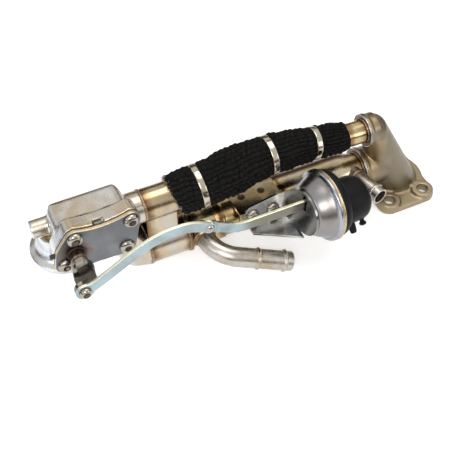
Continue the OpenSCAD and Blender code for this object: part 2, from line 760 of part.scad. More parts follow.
// Pressed header: round over the cooler, a waist, and a cone onto the bypass tube
module header_outline(inset) {
  translate([0, axis_h]) circle(r = cooler_neck_r - inset);
  translate([-10 + inset, axis_h]) square([20 - 2 * inset, bypass_rise]);
  translate([0, bypass_z]) circle(r = bypass_neck_r - inset);
}

module inlet_header() {
  waist_len = sleeve_x0 - header_x - 0.5;
  color([0.72, 0.68, 0.6]) difference() {
    union() {
      translate([header_x, 0, 0]) rotate([90, 0, 90]) linear_extrude(waist_len) header_outline(0);
      along_x(header_x, header_x + header_len + 1, bypass_neck_r, 0, bypass_z);
      along_x(header_x, header_x + header_len + 1, cooler_neck_r, 0, axis_h);
      along_x(header_x + header_len, header_x + header_len + 2.2, shell_r + 0.8 + wall, 0, axis_h);
    }
    translate([header_x - 1, 0, 0]) rotate([90, 0, 90]) linear_extrude(waist_len + 1 - wall) intersection() {
      header_outline(wall);
      translate([-40, axis_h - 40]) square([80, 40 + bypass_rise - bypass_r - 2]);
    }
    along_x(header_x - 1, header_x + header_len + 2, bypass_r + seat_gap, 0, bypass_z);
    along_x(header_x + header_len - 1, header_x + header_len + 4, shell_r + seat_gap, 0, axis_h);
    along_x(header_x + 10, header_x + header_len + 4, shell_r - wall, 0, axis_h);
  }
}

// Bypass tube: straight in the header and in the collector, with a low arch between them
bow_steps = 22;
module bypass_tube() {
  xs = concat([header_x + 0.2], [for (i = [0:bow_steps]) bow_x0 + (bow_x1 - bow_x0) * i / bow_steps],
    [collar_x + 6]);
  color([0.74, 0.7, 0.62]) bow_sweep([for (x = xs) [x, bypass_r, bypass_r - wall, 0]]);
}

// Knitted sleeve: cut aslant at its valve end, bulging, and drawn in under each clamp
sleeve_steps = 26;
sleeve_lean = 0.29;
lean_len = 7;
function sleeve_at(t) = sleeve_x0 + (sleeve_x1 - sleeve_x0) * t;
function sleeve_wave(t) = 0.35 * sin(360 * 5 * t);
function clamp_seat_r(i) = sleeve_r(clamp_at[i]) - 0.5;
cone_end = header_x + header_len + 1 + seat_gap;
function sleeve_station(x) = let (t = (x - sleeve_x0) / (sleeve_x1 - sleeve_x0))
  [x, sleeve_r(t) + sleeve_wave(t), (x < cone_end ? bypass_neck_r : bypass_r) + seat_gap,
   sleeve_lean * pow(max(0, 1 - (x - sleeve_x0) / lean_len), 2)];
module insulation_sleeve() {
  xs = concat([for (i = [0:4]) sleeve_x0 + (cone_end - 0.05 - sleeve_x0) * i / 4],
    [for (i = [0:sleeve_steps]) cone_end + (sleeve_x1 - cone_end) * i / sleeve_steps]);
  color([0.05, 0.05, 0.05]) difference() {
    bow_sweep([for (x = xs) sleeve_station(x)]);
    for (i = [0:len(clamp_at) - 1]) on_bow(sleeve_at(clamp_at[i])) difference() {
      along_x(-clamp_w / 2 - 0.4, clamp_w / 2 + 0.4, sleeve_r1 + 9);
      along_x(-clamp_w, clamp_w, clamp_seat_r(i));
    }
  }
}

// Band with its crimped lock at the back
module sleeve_clamp(i) {
  r = clamp_seat_r(i) + 0.05;
  color([0.8, 0.78, 0.72]) on_bow(sleeve_at(clamp_at[i])) difference() {
    union() {
      along_x(-clamp_w / 2, clamp_w / 2, r + clamp_t);
      translate([-clamp_w / 2, r - 3, -4]) cube([clamp_w, 3 + clamp_t + 1, 7]);
    }
    along_x(-clamp_w, clamp_w, r);
  }
}
module sleeve_clamp_1() { sleeve_clamp(0); }
module sleeve_clamp_2() { sleeve_clamp(1); }
module sleeve_clamp_3() { sleeve_clamp(2); }

// A rounded bead round a pipe along Z
module bead(z, r) {
  translate([0, 0, z]) rotate_extrude() translate([r - 0.4, 0]) circle(r = bead_h + 0.4);
}

// Turns the frame so that +Y lies along d0 and -X along the side that the bend turns to
module bend_frame(at, d0, d1) {
  e = unit(d1 - (d1 * d0) * d0);
  k = cross(-e, d0);
  multmatrix([for (i = [0:2]) [-e[i], d0[i], k[i], at[i]]]) children();
}

module coolant_outlet_pipe() {
  d0 = [0, -1, 0];
  d1 = unit(pipe_dir);
  turn = acos(d0 * d1);
  start = [outlet_pipe_x, -pipe_root, outlet_pipe_z];
  color([0.72, 0.68, 0.62]) bend_frame(start, d0, d1) translate([-pipe_bend_r, 0, 0]) {
    rotate_extrude(angle = turn) translate([pipe_bend_r, 0]) difference() {
      circle(r = pipe_r);
      circle(r = pipe_r - pipe_wall);
    }
    pipe_run_end(turn) difference() {
      union() {
        translate([0, 0, 0.02]) cylinder(h = pipe_len - 0.02, r = pipe_r);
        for (z = [pipe_len - bead_back, pipe_len - bead_back - 22]) bead(z, pipe_r);
      }
      translate([0, 0, -1]) cylinder(h = pipe_len + 2, r = pipe_r - pipe_wall);
    }
  }
}

// Places a straight run at the end of the bend
module pipe_run_end(turn) {
  rotate([0, 0, turn]) translate([pipe_bend_r, 0, 0]) rotate([-90, 0, 0]) children();
}

// Spigot's frame: it leaves the cooler's axis along -Y, turned a little towards the collector
module spigot_frame() {
  translate([spigot_x, 0, spigot_z]) rotate([0, 0, spigot_yaw]) children();
}

module coolant_inlet_spigot() {
  root = -sqrt(pow(neck_r, 2) - pow(spigot_lift, 2)) + 5;
  color([0.74, 0.7, 0.64]) difference() {
    spigot_frame() difference() {
      union() {
        along_y(-spigot_reach, root, spigot_r);
        translate([0, -spigot_reach + bead_back, 0]) rotate([90, 0, 0]) bead(0, spigot_r);
      }
      along_y(-spigot_reach - 1, root + 1, spigot_r - pipe_wall);
    }
    along_x(spigot_x - 20, spigot_x + 20, neck_r + 0.05, 0, axis_h);
  }
}

// Cast collector: two collars, a trunk that sweeps down, and the four-bolt outlet flange
module collector_trunk(shrink) {
  hull() {
    translate([elbow_x, 0, bypass_z - 3]) scale([0.78, 1, 1]) sphere(r = elbow_r - shrink, $fn = 32);
    translate([1, 0, flange_t - 1]) cylinder(h = 3, r = port_r + 4 - shrink, $fn = 48);
  }
}

module outlet_collector() {
  collar_wall = 3;
  color([0.76, 0.72, 0.64]) difference() {
    union() {
      collector_trunk(0);
      along_x(collar_x, elbow_x, bypass_r + collar_wall, 0, bypass_z);
      along_x(collar_x, -8, neck_r + collar_wall, 0, axis_h);
      for (z = [[bypass_z, bypass_r], [axis_h, neck_r]])
        along_x(collar_x, collar_x + 3.5, z[1] + collar_wall + 1.2, 0, z[0]);
      linear_extrude(flange_t) outlet_outline();
      at_bolts() cylinder(h = flange_t + pad_h, r = 9.5);
    }
    translate([0, 0, -1]) cylinder(h = flange_t + 6, r = port_r);
    collector_trunk(4.6);
    along_x(collar_x + 6, collar_x + 16, bypass_bore, 0, bypass_z);
    along_x(collar_x + 5, -4, neck_r - wall, 0, axis_h);
    along_x(collar_x - 1, collar_x + 6.2, bypass_r + seat_gap, 0, bypass_z);
    along_x(collar_x - 1, collar_x + 5.2, neck_r + seat_gap, 0, axis_h);
    at_bolts() translate([0, 0, -1]) cylinder(h = 40, r = bolt_hole_r);
  }
}

module at_bolts() {
  for (x = [-1, 1], y = [-1, 1]) translate([x * bolt_dx / 2, y * bolt_dy / 2]) children();
}

module outlet_outline() {
  hull() at_bolts() circle(r = 10.2, $fn = 32);
  circle(r = 29);
}

valve_housing();
cover_gasket();
valve_cover();
cover_screws();
shaft_bush();
shaft_seal();
flap_shaft();
bypass_flap();
crank_lever();
link_pin();
pull_link();
actuator_rod();
link_rivet();
piston_plate();
diaphragm();
return_spring();
actuator_can();
actuator_cap();
cap_cover();
actuator_bracket();
bracket_screws();
saddle_bracket();
cooler_shell();
tube_plate_inlet();
tube_plate_outlet();
gas_tubes();
inlet_header();
bypass_tube();
insulation_sleeve();
sleeve_clamp_1();
sleeve_clamp_2();
sleeve_clamp_3();
coolant_outlet_pipe();
coolant_inlet_spigot();
outlet_collector();
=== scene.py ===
import math
import bpy
import numpy as np
from mathutils import Matrix, Vector, noise


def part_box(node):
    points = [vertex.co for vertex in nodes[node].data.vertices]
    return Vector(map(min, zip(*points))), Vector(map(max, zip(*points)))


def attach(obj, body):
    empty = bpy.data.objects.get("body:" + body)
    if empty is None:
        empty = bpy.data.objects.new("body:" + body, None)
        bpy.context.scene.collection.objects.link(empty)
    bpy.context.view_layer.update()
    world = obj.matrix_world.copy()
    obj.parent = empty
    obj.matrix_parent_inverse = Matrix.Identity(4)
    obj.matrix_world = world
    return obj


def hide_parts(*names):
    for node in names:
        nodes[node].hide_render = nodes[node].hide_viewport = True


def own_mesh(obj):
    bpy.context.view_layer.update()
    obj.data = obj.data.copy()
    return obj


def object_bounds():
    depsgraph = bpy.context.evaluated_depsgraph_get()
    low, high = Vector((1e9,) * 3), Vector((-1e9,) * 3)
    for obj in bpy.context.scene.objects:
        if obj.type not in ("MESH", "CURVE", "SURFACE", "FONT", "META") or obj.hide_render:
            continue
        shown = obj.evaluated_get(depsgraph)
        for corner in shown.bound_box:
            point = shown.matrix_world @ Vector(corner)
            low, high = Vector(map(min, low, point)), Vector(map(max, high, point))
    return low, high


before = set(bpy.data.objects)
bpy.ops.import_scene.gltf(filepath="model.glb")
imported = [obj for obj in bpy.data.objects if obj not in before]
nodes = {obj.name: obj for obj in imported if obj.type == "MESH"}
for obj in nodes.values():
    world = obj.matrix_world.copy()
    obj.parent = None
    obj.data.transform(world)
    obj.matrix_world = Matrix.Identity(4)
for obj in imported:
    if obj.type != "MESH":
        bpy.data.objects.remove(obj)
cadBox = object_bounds()
mm = 0.001
fullTurn = 2 * math.pi
scene = bpy.context.scene
scene.view_settings.view_transform = "Standard"


# node helpers

def tone(r, g, b):
    return (r, g, b, 1)

def feed(tree, socket, value):  # a link from another node, or a constant
    if hasattr(value, "is_output"):
        tree.links.new(value, socket)
    else:
        socket.default_value = value

def addMath(tree, operation, a, b=0.0):
    node = tree.nodes.new("ShaderNodeMath")
    node.operation = operation
    feed(tree, node.inputs[0], a)
    feed(tree, node.inputs[1], b)
    return node.outputs[0]

def times(tree, a, b):
    return addMath(tree, "MULTIPLY", a, b)

def plus(tree, a, b):
    return addMath(tree, "ADD", a, b)

def centred(tree, value, amount):  # a 0 to 1 value turned into a swing either way
    return times(tree, addMath(tree, "SUBTRACT", value, 0.5), amount)

def addRange(tree, value, low, high, toLow=0.0, toHigh=1.0):
    span = tree.nodes.new("ShaderNodeMapRange")
    span.interpolation_type = "SMOOTHSTEP"
    limits = {"Value": value, "From Min": low, "From Max": high, "To Min": toLow, "To Max": toHigh}
    for label, limit in limits.items():
        feed(tree, span.inputs[label], limit)
    return span.outputs["Result"]

def addMix(tree, factor, a, b):
    node = tree.nodes.new("ShaderNodeMix")
    node.data_type = "RGBA"
    for index, value in ((0, factor), (6, a), (7, b)):
        feed(tree, node.inputs[index], value)
    return node.outputs[2]

def objectPlace(tree):
    return tree.nodes.new("ShaderNodeTexCoord").outputs["Object"]

def axes(tree, kind="Object"):  # X, Y and Z of the place in metres, or of the normal
    split = tree.nodes.new("ShaderNodeSeparateXYZ")
    tree.links.new(tree.nodes.new("ShaderNodeTexCoord").outputs[kind], split.inputs[0])
    return split.outputs

def stretched(tree, factors):  # the place multiplied axis by axis, for long thin patches
    node = tree.nodes.new("ShaderNodeVectorMath")
    node.operation = "MULTIPLY"
    feed(tree, node.inputs[0], objectPlace(tree))
    feed(tree, node.inputs[1], factors)
    return node.outputs[0]

def addNoise(tree, scale, detail=4.0, roughness=0.55, vector=None):
    tex = tree.nodes.new("ShaderNodeTexNoise")
    place = objectPlace(tree) if vector is None else vector
    values = {"Vector": place, "Scale": scale, "Detail": detail, "Roughness": roughness}
    for label, value in values.items():
        feed(tree, tex.inputs[label], value)
    return tex.outputs["Fac"]

def patches(tree, scale, low, high, toLow=0.0, toHigh=1.0, **texture):
    return addRange(tree, addNoise(tree, scale, **texture), low, high, toLow, toHigh)

def nearStation(tree, value, centre, reach):  # 1 at the station, 0 from its reach on
    away = addMath(tree, "ABSOLUTE", addMath(tree, "SUBTRACT", value, centre))
    return addRange(tree, away, 0.0, reach, 1.0, 0.0)

def startMaterial(name, constants=None):  # plain metal, unless the constants say otherwise
    mat = bpy.data.materials.new(name)
    mat.use_nodes = True
    tree = mat.node_tree
    shader = tree.nodes["Principled BSDF"]
    for label, value in {"Metallic": 1.0, **(constants or {})}.items():
        shader.inputs[label].default_value = value
    return mat, tree, shader

def closeMaterial(tree, shader, colour, roughness, height, bump):  # bump: strength and distance
    feed(tree, shader.inputs["Base Color"], colour)
    feed(tree, shader.inputs["Roughness"], roughness)
    node = tree.nodes.new("ShaderNodeBump")
    node.inputs["Strength"].default_value, node.inputs["Distance"].default_value = bump
    tree.links.new(height, node.inputs["Height"])
    tree.links.new(node.outputs["Normal"], shader.inputs["Normal"])


# camera, lamps and floor

view = {
    "target": (-0.155, 0.0, 0.009),
    "back": (-0.2717, -0.5826, 0.7660),
    "distance": 0.747,
    "focalPixels": 900.0,
    "framePixels": 460.0,
    "sensor": 36.0,
    "clip": (0.01, 50.0),
}

def makeCamera():
    data = bpy.data.cameras.new("photoCamera")
    data.sensor_width = view["sensor"]
    data.lens = view["focalPixels"] / view["framePixels"] * view["sensor"]
    data.clip_start, data.clip_end = view["clip"]
    cam = bpy.data.objects.new("photoCamera", data)
    back = Vector(view["back"]).normalized()
    cam.location = Vector(view["target"]) + back * view["distance"]
    cam.rotation_mode = "QUATERNION"
    cam.rotation_quaternion = (-back).to_track_quat("-Z", "Y")
    scene.collection.objects.link(cam)
    scene.camera = cam

lamps = {
    "keyFront": {"at": (-0.55, -0.75, 0.85), "size": 0.6, "watts": 5.2, "colour": (1.0, 0.98, 0.95)},
    "topSoft": {"at": (0.05, 0.15, 1.0), "size": 0.7, "watts": 4.0, "colour": (1.0, 0.97, 0.93)},
    "fillRight": {"at": (0.55, -0.8, 0.45), "size": 0.45, "watts": 1.8, "colour": (0.95, 0.97, 1.0)},
    "coolLeft": {"at": (-0.95, -0.22, 0.34), "size": 0.4, "watts": 3.2, "colour": (0.78, 0.89, 1.0)},
}

def makeLamps():
    for name, lamp in lamps.items():
        data = bpy.data.lights.new(name, "AREA")
        data.shape = "DISK"
        data.size = lamp["size"]
        data.energy = lamp["watts"]
        data.color = lamp["colour"]
        obj = bpy.data.objects.new(name, data)
        obj.location = lamp["at"]
        aim = Vector(view["target"]) - Vector(lamp["at"])
        obj.rotation_euler = aim.to_track_quat("-Z", "Y").to_euler()
        scene.collection.objects.link(obj)

surroundings = {
    "floor": {"drop": 0.5 * mm, "size": 6.0, "colour": tone(0.93, 0.93, 0.93), "rough": 0.9, "glow": 0.34},
    "ambient": 0.5,
    "cards": [  # brown boards round the part, so that bright metal has something to show
        {"name": "cardLeft", "at": (-0.85, 0.05, 0.22), "turn": (0, 80, 0), "size": (0.42, 1.0)},
        {"name": "cardFront", "at": (-0.10, -0.95, 0.14), "turn": (80, 0, 0), "size": (1.5, 0.30)},
        {"name": "cardBack", "at": (-0.05, 0.62, 0.20), "turn": (-78, 0, 0), "size": (1.3, 0.36)},
        {"name": "cardRight", "at": (0.62, 0.0, 0.20), "turn": (0, -80, 0), "size": (0.40, 1.0)},
        {"name": "cardAbove", "at": (0.20, 0.55, 0.85), "turn": (-35, 0, 0), "size": (0.36, 0.22)},
    ],
    "cardColour": tone(0.12, 0.085, 0.055),
}

def makeWorld():  # white to the eye and in reflections, half as bright as a light
    world = bpy.data.worlds.new("paleStudio")
    scene.world = world
    world.use_nodes = True
    tree = world.node_tree
    tree.nodes.clear()
    path = tree.nodes.new("ShaderNodeLightPath").outputs
    seen = addMath(tree, "MAXIMUM", path["Is Camera Ray"], path["Is Glossy Ray"])
    mix = tree.nodes.new("ShaderNodeMixShader")
    tree.links.new(addMath(tree, "MAXIMUM", seen, path["Is Transmission Ray"]), mix.inputs[0])
    for index, strength in ((1, surroundings["ambient"]), (2, 1.0)):
        glow = tree.nodes.new("ShaderNodeBackground")
        glow.inputs["Color"].default_value = tone(1, 1, 1)
        glow.inputs["Strength"].default_value = strength
        tree.links.new(glow.outputs[0], mix.inputs[index])
    out = tree.nodes.new("ShaderNodeOutputWorld")
    tree.links.new(mix.outputs[0], out.inputs["Surface"])

def addStage(name, mat, size, at, turn=(0, 0, 0)):
    bpy.ops.mesh.primitive_plane_add(size=1, location=at, rotation=[math.radians(a) for a in turn])
    obj = bpy.context.object
    obj.name = name
    obj.scale = (*size, 1)
    obj.data.materials.append(mat)
    return obj

def makeSurroundings():
    floor = surroundings["floor"]
    pale = startMaterial("paleFloor", {
        "Metallic": 0.0, "Base Color": floor["colour"], "Roughness": floor["rough"],
        "Emission Color": tone(1, 1, 1), "Emission Strength": floor["glow"]})[0]
    addStage("paleFloor", pale, (floor["size"],) * 2, (0, 0, cadBox[0].z - floor["drop"]))
    dark = startMaterial("darkCard", {"Metallic": 0.0, "Base Color": surroundings["cardColour"], "Roughness": 1.0})[0]
    for card in surroundings["cards"]:
        obj = addStage(card["name"], dark, card["size"], card["at"], card["turn"])
        obj.visible_camera = obj.visible_shadow = obj.visible_diffuse = False

makeCamera()
makeLamps()
makeWorld()
makeSurroundings()
print("stage: camera, lamps and floor")


# shader groups

def newGroup(name, inputs, outputs):
    tree = bpy.data.node_groups.new(name, "ShaderNodeTree")
    for label, value in inputs.items():
        kind = "Float" if isinstance(value, float) else "Color" if len(value) == 4 else "Vector"
        socket = tree.interface.new_socket(label, in_out="INPUT", socket_type="NodeSocket" + kind)
        socket.default_value = value
    for label, kind in outputs.items():
        tree.interface.new_socket(label, in_out="OUTPUT", socket_type="NodeSocket" + kind)
    return tree, tree.nodes.new("NodeGroupInput").outputs, tree.nodes.new("NodeGroupOutput").inputs

def surfaceMottle():  # two tints over a base colour, with a fine grain for roughness and bump
    tree, given, out = newGroup("surfaceMottle", {
        "Base": tone(0.7, 0.7, 0.7), "Tint": tone(0.6, 0.5, 0.4), "Stain": tone(0.2, 0.15, 0.1),
        "Tint Scale": 40.0, "Tint Amount": 0.6, "Stain Amount": 0.3,
        "Grain Scale": 900.0, "Rough": 0.35, "Rough Spread": 0.15,
    }, {"Color": "Color", "Roughness": "Float", "Height": "Float"})
    tint = times(tree, patches(tree, given["Tint Scale"], 0.42, 0.66), given["Tint Amount"])
    stainScale = times(tree, given["Tint Scale"], 2.7)
    stain = patches(tree, stainScale, 0.56, 0.74, detail=6.0, roughness=0.65)
    warm = addMix(tree, tint, given["Base"], given["Tint"])
    stained = addMix(tree, times(tree, stain, given["Stain Amount"]), warm, given["Stain"])
    tree.links.new(stained, out["Color"])
    grain = addNoise(tree, given["Grain Scale"], 3.0)
    fine = centred(tree, grain, given["Rough Spread"])
    broad = centred(tree, addNoise(tree, stainScale, 3.0), given["Rough Spread"])
    rough = plus(tree, plus(tree, given["Rough"], fine), times(tree, broad, 1.6))
    tree.links.new(rough, out["Roughness"])
    tree.links.new(grain, out["Height"])
    return tree

def drawnStreaks():  # fine lines drawn along one direction
    tree, given, out = newGroup("drawnStreaks", {
        "Stretch": (40.0, 900.0, 900.0), "Depth": 0.3,
    }, {"Height": "Float", "Mask": "Float"})
    lines = addNoise(tree, 1.0, 3.0, 0.6, stretched(tree, given["Stretch"]))
    tree.links.new(times(tree, lines, given["Depth"]), out["Height"])
    tree.links.new(addRange(tree, lines, 0.45, 0.65), out["Mask"])
    return tree

def rubbedEdgesAndLitCrests():  # convex edges of a dense mesh, where handling has polished them; on the yarn the same mask carries painted light on the crests
    tree, given, out = newGroup("rubbedEdgesAndLitCrests", {
        "Low": 0.52, "High": 0.60, "Break Scale": 250.0,
    }, {"Mask": "Float"})
    span = tree.nodes.new("ShaderNodeMapRange")
    feed(tree, span.inputs["Value"], tree.nodes.new("ShaderNodeNewGeometry").outputs["Pointiness"])
    feed(tree, span.inputs["From Min"], given["Low"])
    feed(tree, span.inputs["From Max"], given["High"])
    broken = patches(tree, given["Break Scale"], 0.35, 0.6, 0.3, 1.0)
    tree.links.new(times(tree, span.outputs["Result"], broken), out["Mask"])
    return tree

groups = {"mottle": surfaceMottle(), "streaks": drawnStreaks(), "edges": rubbedEdgesAndLitCrests()}

def placeGroup(tree, key, values=None):
    node = tree.nodes.new("ShaderNodeGroup")
    node.node_tree = groups[key]
    for label, value in (values or {}).items():
        node.inputs[label].default_value = value
    return node.outputs

def placeGrain(tree, scale, rough, spread):
    return placeGroup(tree, "mottle", {"Grain Scale": scale, "Rough": rough, "Rough Spread": spread})


# materials

mottleInputs = {
    "Base": "base", "Tint": "tint", "Stain": "stain", "Tint Scale": "tintScale", "Tint Amount": "tintAmount",
    "Stain Amount": "stainAmount", "Grain Scale": "grainScale", "Rough": "rough", "Rough Spread": "spread",
}
usualFinish = {
    "metallic": 1.0, "specular": 0.5, "tintScale": 90.0, "tintAmount": 0.5, "stainAmount": 0.5,
    "grainScale": 2500.0, "rough": 0.2, "spread": 0.12, "bump": (0.1, 0.0002),
}
finishes = {  # what differs from the usual finish
    "brightScrew": {
        "base": tone(0.34, 0.315, 0.275), "tint": tone(0.24, 0.19, 0.12), "stain": tone(0.05, 0.04, 0.03),
        "tintScale": 180.0, "tintAmount": 0.4, "spread": 0.14},
    "darkLever": {
        "base": tone(0.17, 0.17, 0.18), "tint": tone(0.26, 0.235, 0.19), "stain": tone(0.03, 0.03, 0.03),
        "tintScale": 120.0, "grainScale": 2200.0, "rough": 0.15, "spread": 0.1, "bump": (0.12, 0.0003),
        # painted light on the faces that look up
        "paintedTopLightFrom": (0.62, 0.9), "paintedTopLight": tone(0.43, 0.39, 0.33), "paintedTopLightShare": 0.85},
    "bracketZinc": {
        "base": tone(0.55, 0.56, 0.57), "tint": tone(0.34, 0.32, 0.27), "stain": tone(0.14, 0.12, 0.10),
        "tintScale": 60.0, "tintAmount": 0.7, "stainAmount": 0.45, "grainScale": 2400.0, "rough": 0.19,
        "plateFrom": (-0.1195, -0.1165), "plateTone": tone(0.17, 0.165, 0.165), "plateShare": 0.85},
    "satinCan": {
        "base": tone(0.25, 0.24, 0.237), "tint": tone(0.195, 0.175, 0.16), "stain": tone(0.12, 0.10, 0.09),
        "tintScale": 60.0, "tintAmount": 0.4, "stainAmount": 0.25, "grainScale": 2600.0, "rough": 0.28,
        "spread": 0.1, "bump": (0.08, 0.0002)},
    "bandSteel": {
        "base": tone(0.44, 0.40, 0.33), "tint": tone(0.42, 0.35, 0.22), "stain": tone(0.14, 0.12, 0.09),
        "tintScale": 120.0, "stainAmount": 0.4, "grainScale": 2600.0, "rough": 0.16, "spread": 0.1,
        "bump": (0.08, 0.0002)},
    "pipeSteel": {
        "base": tone(0.42, 0.39, 0.35), "tint": tone(0.31, 0.235, 0.14), "stain": tone(0.16, 0.11, 0.07),
        "tintScale": 60.0, "tintAmount": 0.65, "stainAmount": 0.35, "grainScale": 1700.0, "rough": 0.31,
        "spread": 0.18, "bump": (0.14, 0.0003)},
    "springWire": {
        "base": tone(0.4, 0.4, 0.4), "tint": tone(0.32, 0.30, 0.27), "stain": tone(0.15, 0.15, 0.15),
        "tintAmount": 0.4, "stainAmount": 0.3, "grainScale": 2600.0, "rough": 0.3, "spread": 0.1,
        "bump": (0.08, 0.0002)},
    "weldBead": {
        "base": tone(0.30, 0.21, 0.13), "tint": tone(0.17, 0.10, 0.055), "stain": tone(0.06, 0.045, 0.035),
        "tintScale": 160.0, "tintAmount": 0.7, "grainScale": 1800.0, "rough": 0.3, "spread": 0.18,
        "bump": (0.2, 0.0003)},
    "goldLine": {
        "base": tone(0.45, 0.36, 0.22), "tint": tone(0.36, 0.27, 0.15), "stain": tone(0.16, 0.11, 0.06),
        "tintAmount": 0.6, "stainAmount": 0.3, "rough": 0.26},
    "plugWeld": {
        "base": tone(0.10, 0.065, 0.035), "tint": tone(0.045, 0.028, 0.018), "stain": tone(0.02, 0.015, 0.012),
        "tintScale": 260.0, "tintAmount": 0.7, "grainScale": 1800.0, "rough": 0.36, "spread": 0.18,
        "bump": (0.2, 0.0003)},
    "blackPlastic": {
        "base": tone(0.0045, 0.0045, 0.0048), "tint": tone(0.007, 0.007, 0.007), "stain": tone(0.015, 0.014, 0.012),
        "metallic": 0.0, "specular": 0.12, "tintScale": 50.0, "stainAmount": 0.12, "grainScale": 3000.0,
        "rough": 0.5, "bump": (0.12, 0.0002)},
    # painted shade: the screw sockets are dark inside
    "paintedSocketShade": {
        "base": tone(0.07, 0.058, 0.045), "tint": tone(0.14, 0.11, 0.07), "stain": tone(0.01, 0.01, 0.01),
        "tintScale": 300.0, "rough": 0.35, "spread": 0.14},
    "brightRing": {
        "base": tone(0.46, 0.475, 0.51), "tint": tone(0.34, 0.32, 0.30), "stain": tone(0.20, 0.16, 0.12),
        "stainAmount": 0.35},
    "rimSteel": {
        "base": tone(0.33, 0.345, 0.39), "tint": tone(0.25, 0.245, 0.25), "stain": tone(0.12, 0.10, 0.09),
        "stainAmount": 0.35},
    "darkRubber": {
        "base": tone(0.014, 0.013, 0.012), "tint": tone(0.02, 0.018, 0.016), "stain": tone(0.045, 0.036, 0.028),
        "metallic": 0.0, "tintScale": 80.0, "stainAmount": 0.2, "grainScale": 2600.0, "rough": 0.6,
        "bump": (0.15, 0.0002)},
}

def finishMaterial(name, given):
    spec = {**usualFinish, **given}
    mat, tree, shader = startMaterial(name, {"Metallic": spec["metallic"], "Specular IOR Level": spec["specular"]})
    mottle = placeGroup(tree, "mottle", {label: spec[key] for label, key in mottleInputs.items()})
    colour = mottle["Color"]
    if "plateFrom" in spec:  # the bracket's darker nose plate
        share = addRange(tree, axes(tree)["X"], *spec["plateFrom"], 0.0, spec["plateShare"])
        colour = addMix(tree, share, colour, spec["plateTone"])
    if "paintedTopLight" in spec:  # painted light: paler where the surface looks up
        share = addRange(tree, axes(tree, "Normal")["Z"], *spec["paintedTopLightFrom"], 0.0, spec["paintedTopLightShare"])
        colour = addMix(tree, share, colour, spec["paintedTopLight"])
    closeMaterial(tree, shader, colour, mottle["Roughness"], mottle["Height"], spec["bump"])
    return mat

rimZone = {
    "gold": tone(0.40, 0.28, 0.135), "bandStart": (-0.0222, -0.0212), "bandEnd": (-0.0094, -0.0084),
    "above": (0.060, 0.070), "leftOf": (-0.236, -0.240),
    # painted shade for the step line and the notch
    "dark": tone(0.12, 0.105, 0.09), "stepAt": -0.0082, "stepReach": 0.0009, "stepShare": 0.7,
    "notchX": -0.267, "notchHalf": 0.0052, "notchAbove": (0.0905, 0.0915), "notchFront": (-0.0150, -0.0154),
}

def tintRim(tree, colour):  # gold band under the cover, and painted shade for a dark step line behind it and for the notch
    x, y, z = axes(tree)
    high = addRange(tree, z, *rimZone["above"])
    band = times(tree, addRange(tree, y, *rimZone["bandStart"]), addRange(tree, y, *rimZone["bandEnd"], 1.0, 0.0))
    band = times(tree, band, times(tree, high, addRange(tree, x, *rimZone["leftOf"])))
    band = times(tree, band, patches(tree, 50.0, 0.40, 0.58, 0.12, 0.8))
    colour = addMix(tree, band, colour, rimZone["gold"])
    # painted shade: a dark line where the rim steps down from the body
    step = times(tree, nearStation(tree, y, rimZone["stepAt"], rimZone["stepReach"]), high)
    colour = addMix(tree, times(tree, step, rimZone["stepShare"]), colour, rimZone["dark"])
    # painted shade: a dark mark where the notch lies
    notch = addRange(tree, nearStation(tree, x, rimZone["notchX"], rimZone["notchHalf"]), 0.02, 0.12)
    notch = times(tree, notch, addRange(tree, z, *rimZone["notchAbove"]))
    notch = times(tree, notch, addRange(tree, y, *rimZone["notchFront"]))
    return addMix(tree, notch, colour, rimZone["dark"])

flangeZone = {
    "champagne": tone(0.29, 0.235, 0.15), "below": (0.0105, 0.0085),
    "tan": tone(0.33, 0.245, 0.14), "collarAt": -0.030, "collarReach": 0.014, "tanShare": 0.75,
}

def tintFlange(tree, colour):  # paler flange, tan round the collars
    x, _, z = axes(tree)
    colour = addMix(tree, addRange(tree, z, *flangeZone["below"]), colour, flangeZone["champagne"])
    near = nearStation(tree, x, flangeZone["collarAt"], flangeZone["collarReach"])
    tan = times(tree, near, patches(tree, 60.0, 0.4, 0.6))
    return addMix(tree, times(tree, tan, flangeZone["tanShare"]), colour, flangeZone["tan"])

castings = {  # blasted castings: coarse grain, warm and cool patches, a zone of their own tint, and on the housing painted light where it faces left
    "castSteel": {
        "base": tone(0.49, 0.455, 0.40), "tint": tone(0.43, 0.36, 0.265), "cool": tone(0.55, 0.55, 0.55),
        "stain": tone(0.16, 0.105, 0.06), "edge": tone(0.66, 0.62, 0.56), "rough": 0.29, "scale": 30.0,
        "zone": tintRim, "paintedLeftLight": tone(0.60, 0.62, 0.66), "paintedLeftLightFrom": (-0.15, -0.75), "paintedLeftLightShare": 0.85},
    "collectorSteel": {
        "base": tone(0.205, 0.174, 0.127), "tint": tone(0.165, 0.132, 0.087), "cool": tone(0.24, 0.215, 0.172),
        "stain": tone(0.12, 0.085, 0.05), "edge": tone(0.48, 0.44, 0.37), "rough": 0.42, "scale": 24.0,
        "zone": tintFlange},
}

def castMaterial(name, spec):
    mat, tree, shader = startMaterial(name)
    colour = addMix(tree, patches(tree, spec["scale"], 0.42, 0.66), spec["base"], spec["tint"])
    colour = addMix(tree, patches(tree, spec["scale"] * 1.7, 0.52, 0.7, 0.0, 0.7), colour, spec["cool"])
    colour = spec["zone"](tree, colour)
    # painted light: paler and bluish where the surface faces left, where the cool light falls
    if "paintedLeftLight" in spec:
        share = addRange(tree, axes(tree, "Normal")["X"], *spec["paintedLeftLightFrom"], 0.0, spec["paintedLeftLightShare"])
        colour = addMix(tree, share, colour, spec["paintedLeftLight"])
    colour = addMix(tree, patches(tree, 700.0, 0.55, 0.75, 0.0, 0.22, roughness=0.6), colour, spec["stain"])
    colour = addMix(tree, times(tree, placeGroup(tree, "edges")["Mask"], 0.8), colour, spec["edge"])
    grain = placeGrain(tree, 900.0, spec["rough"], 0.2)
    height = plus(tree, grain["Height"], times(tree, addNoise(tree, 1600.0, 2.0), 0.6))
    closeMaterial(tree, shader, colour, grain["Roughness"], height, (0.09, 0.0005))
    return mat

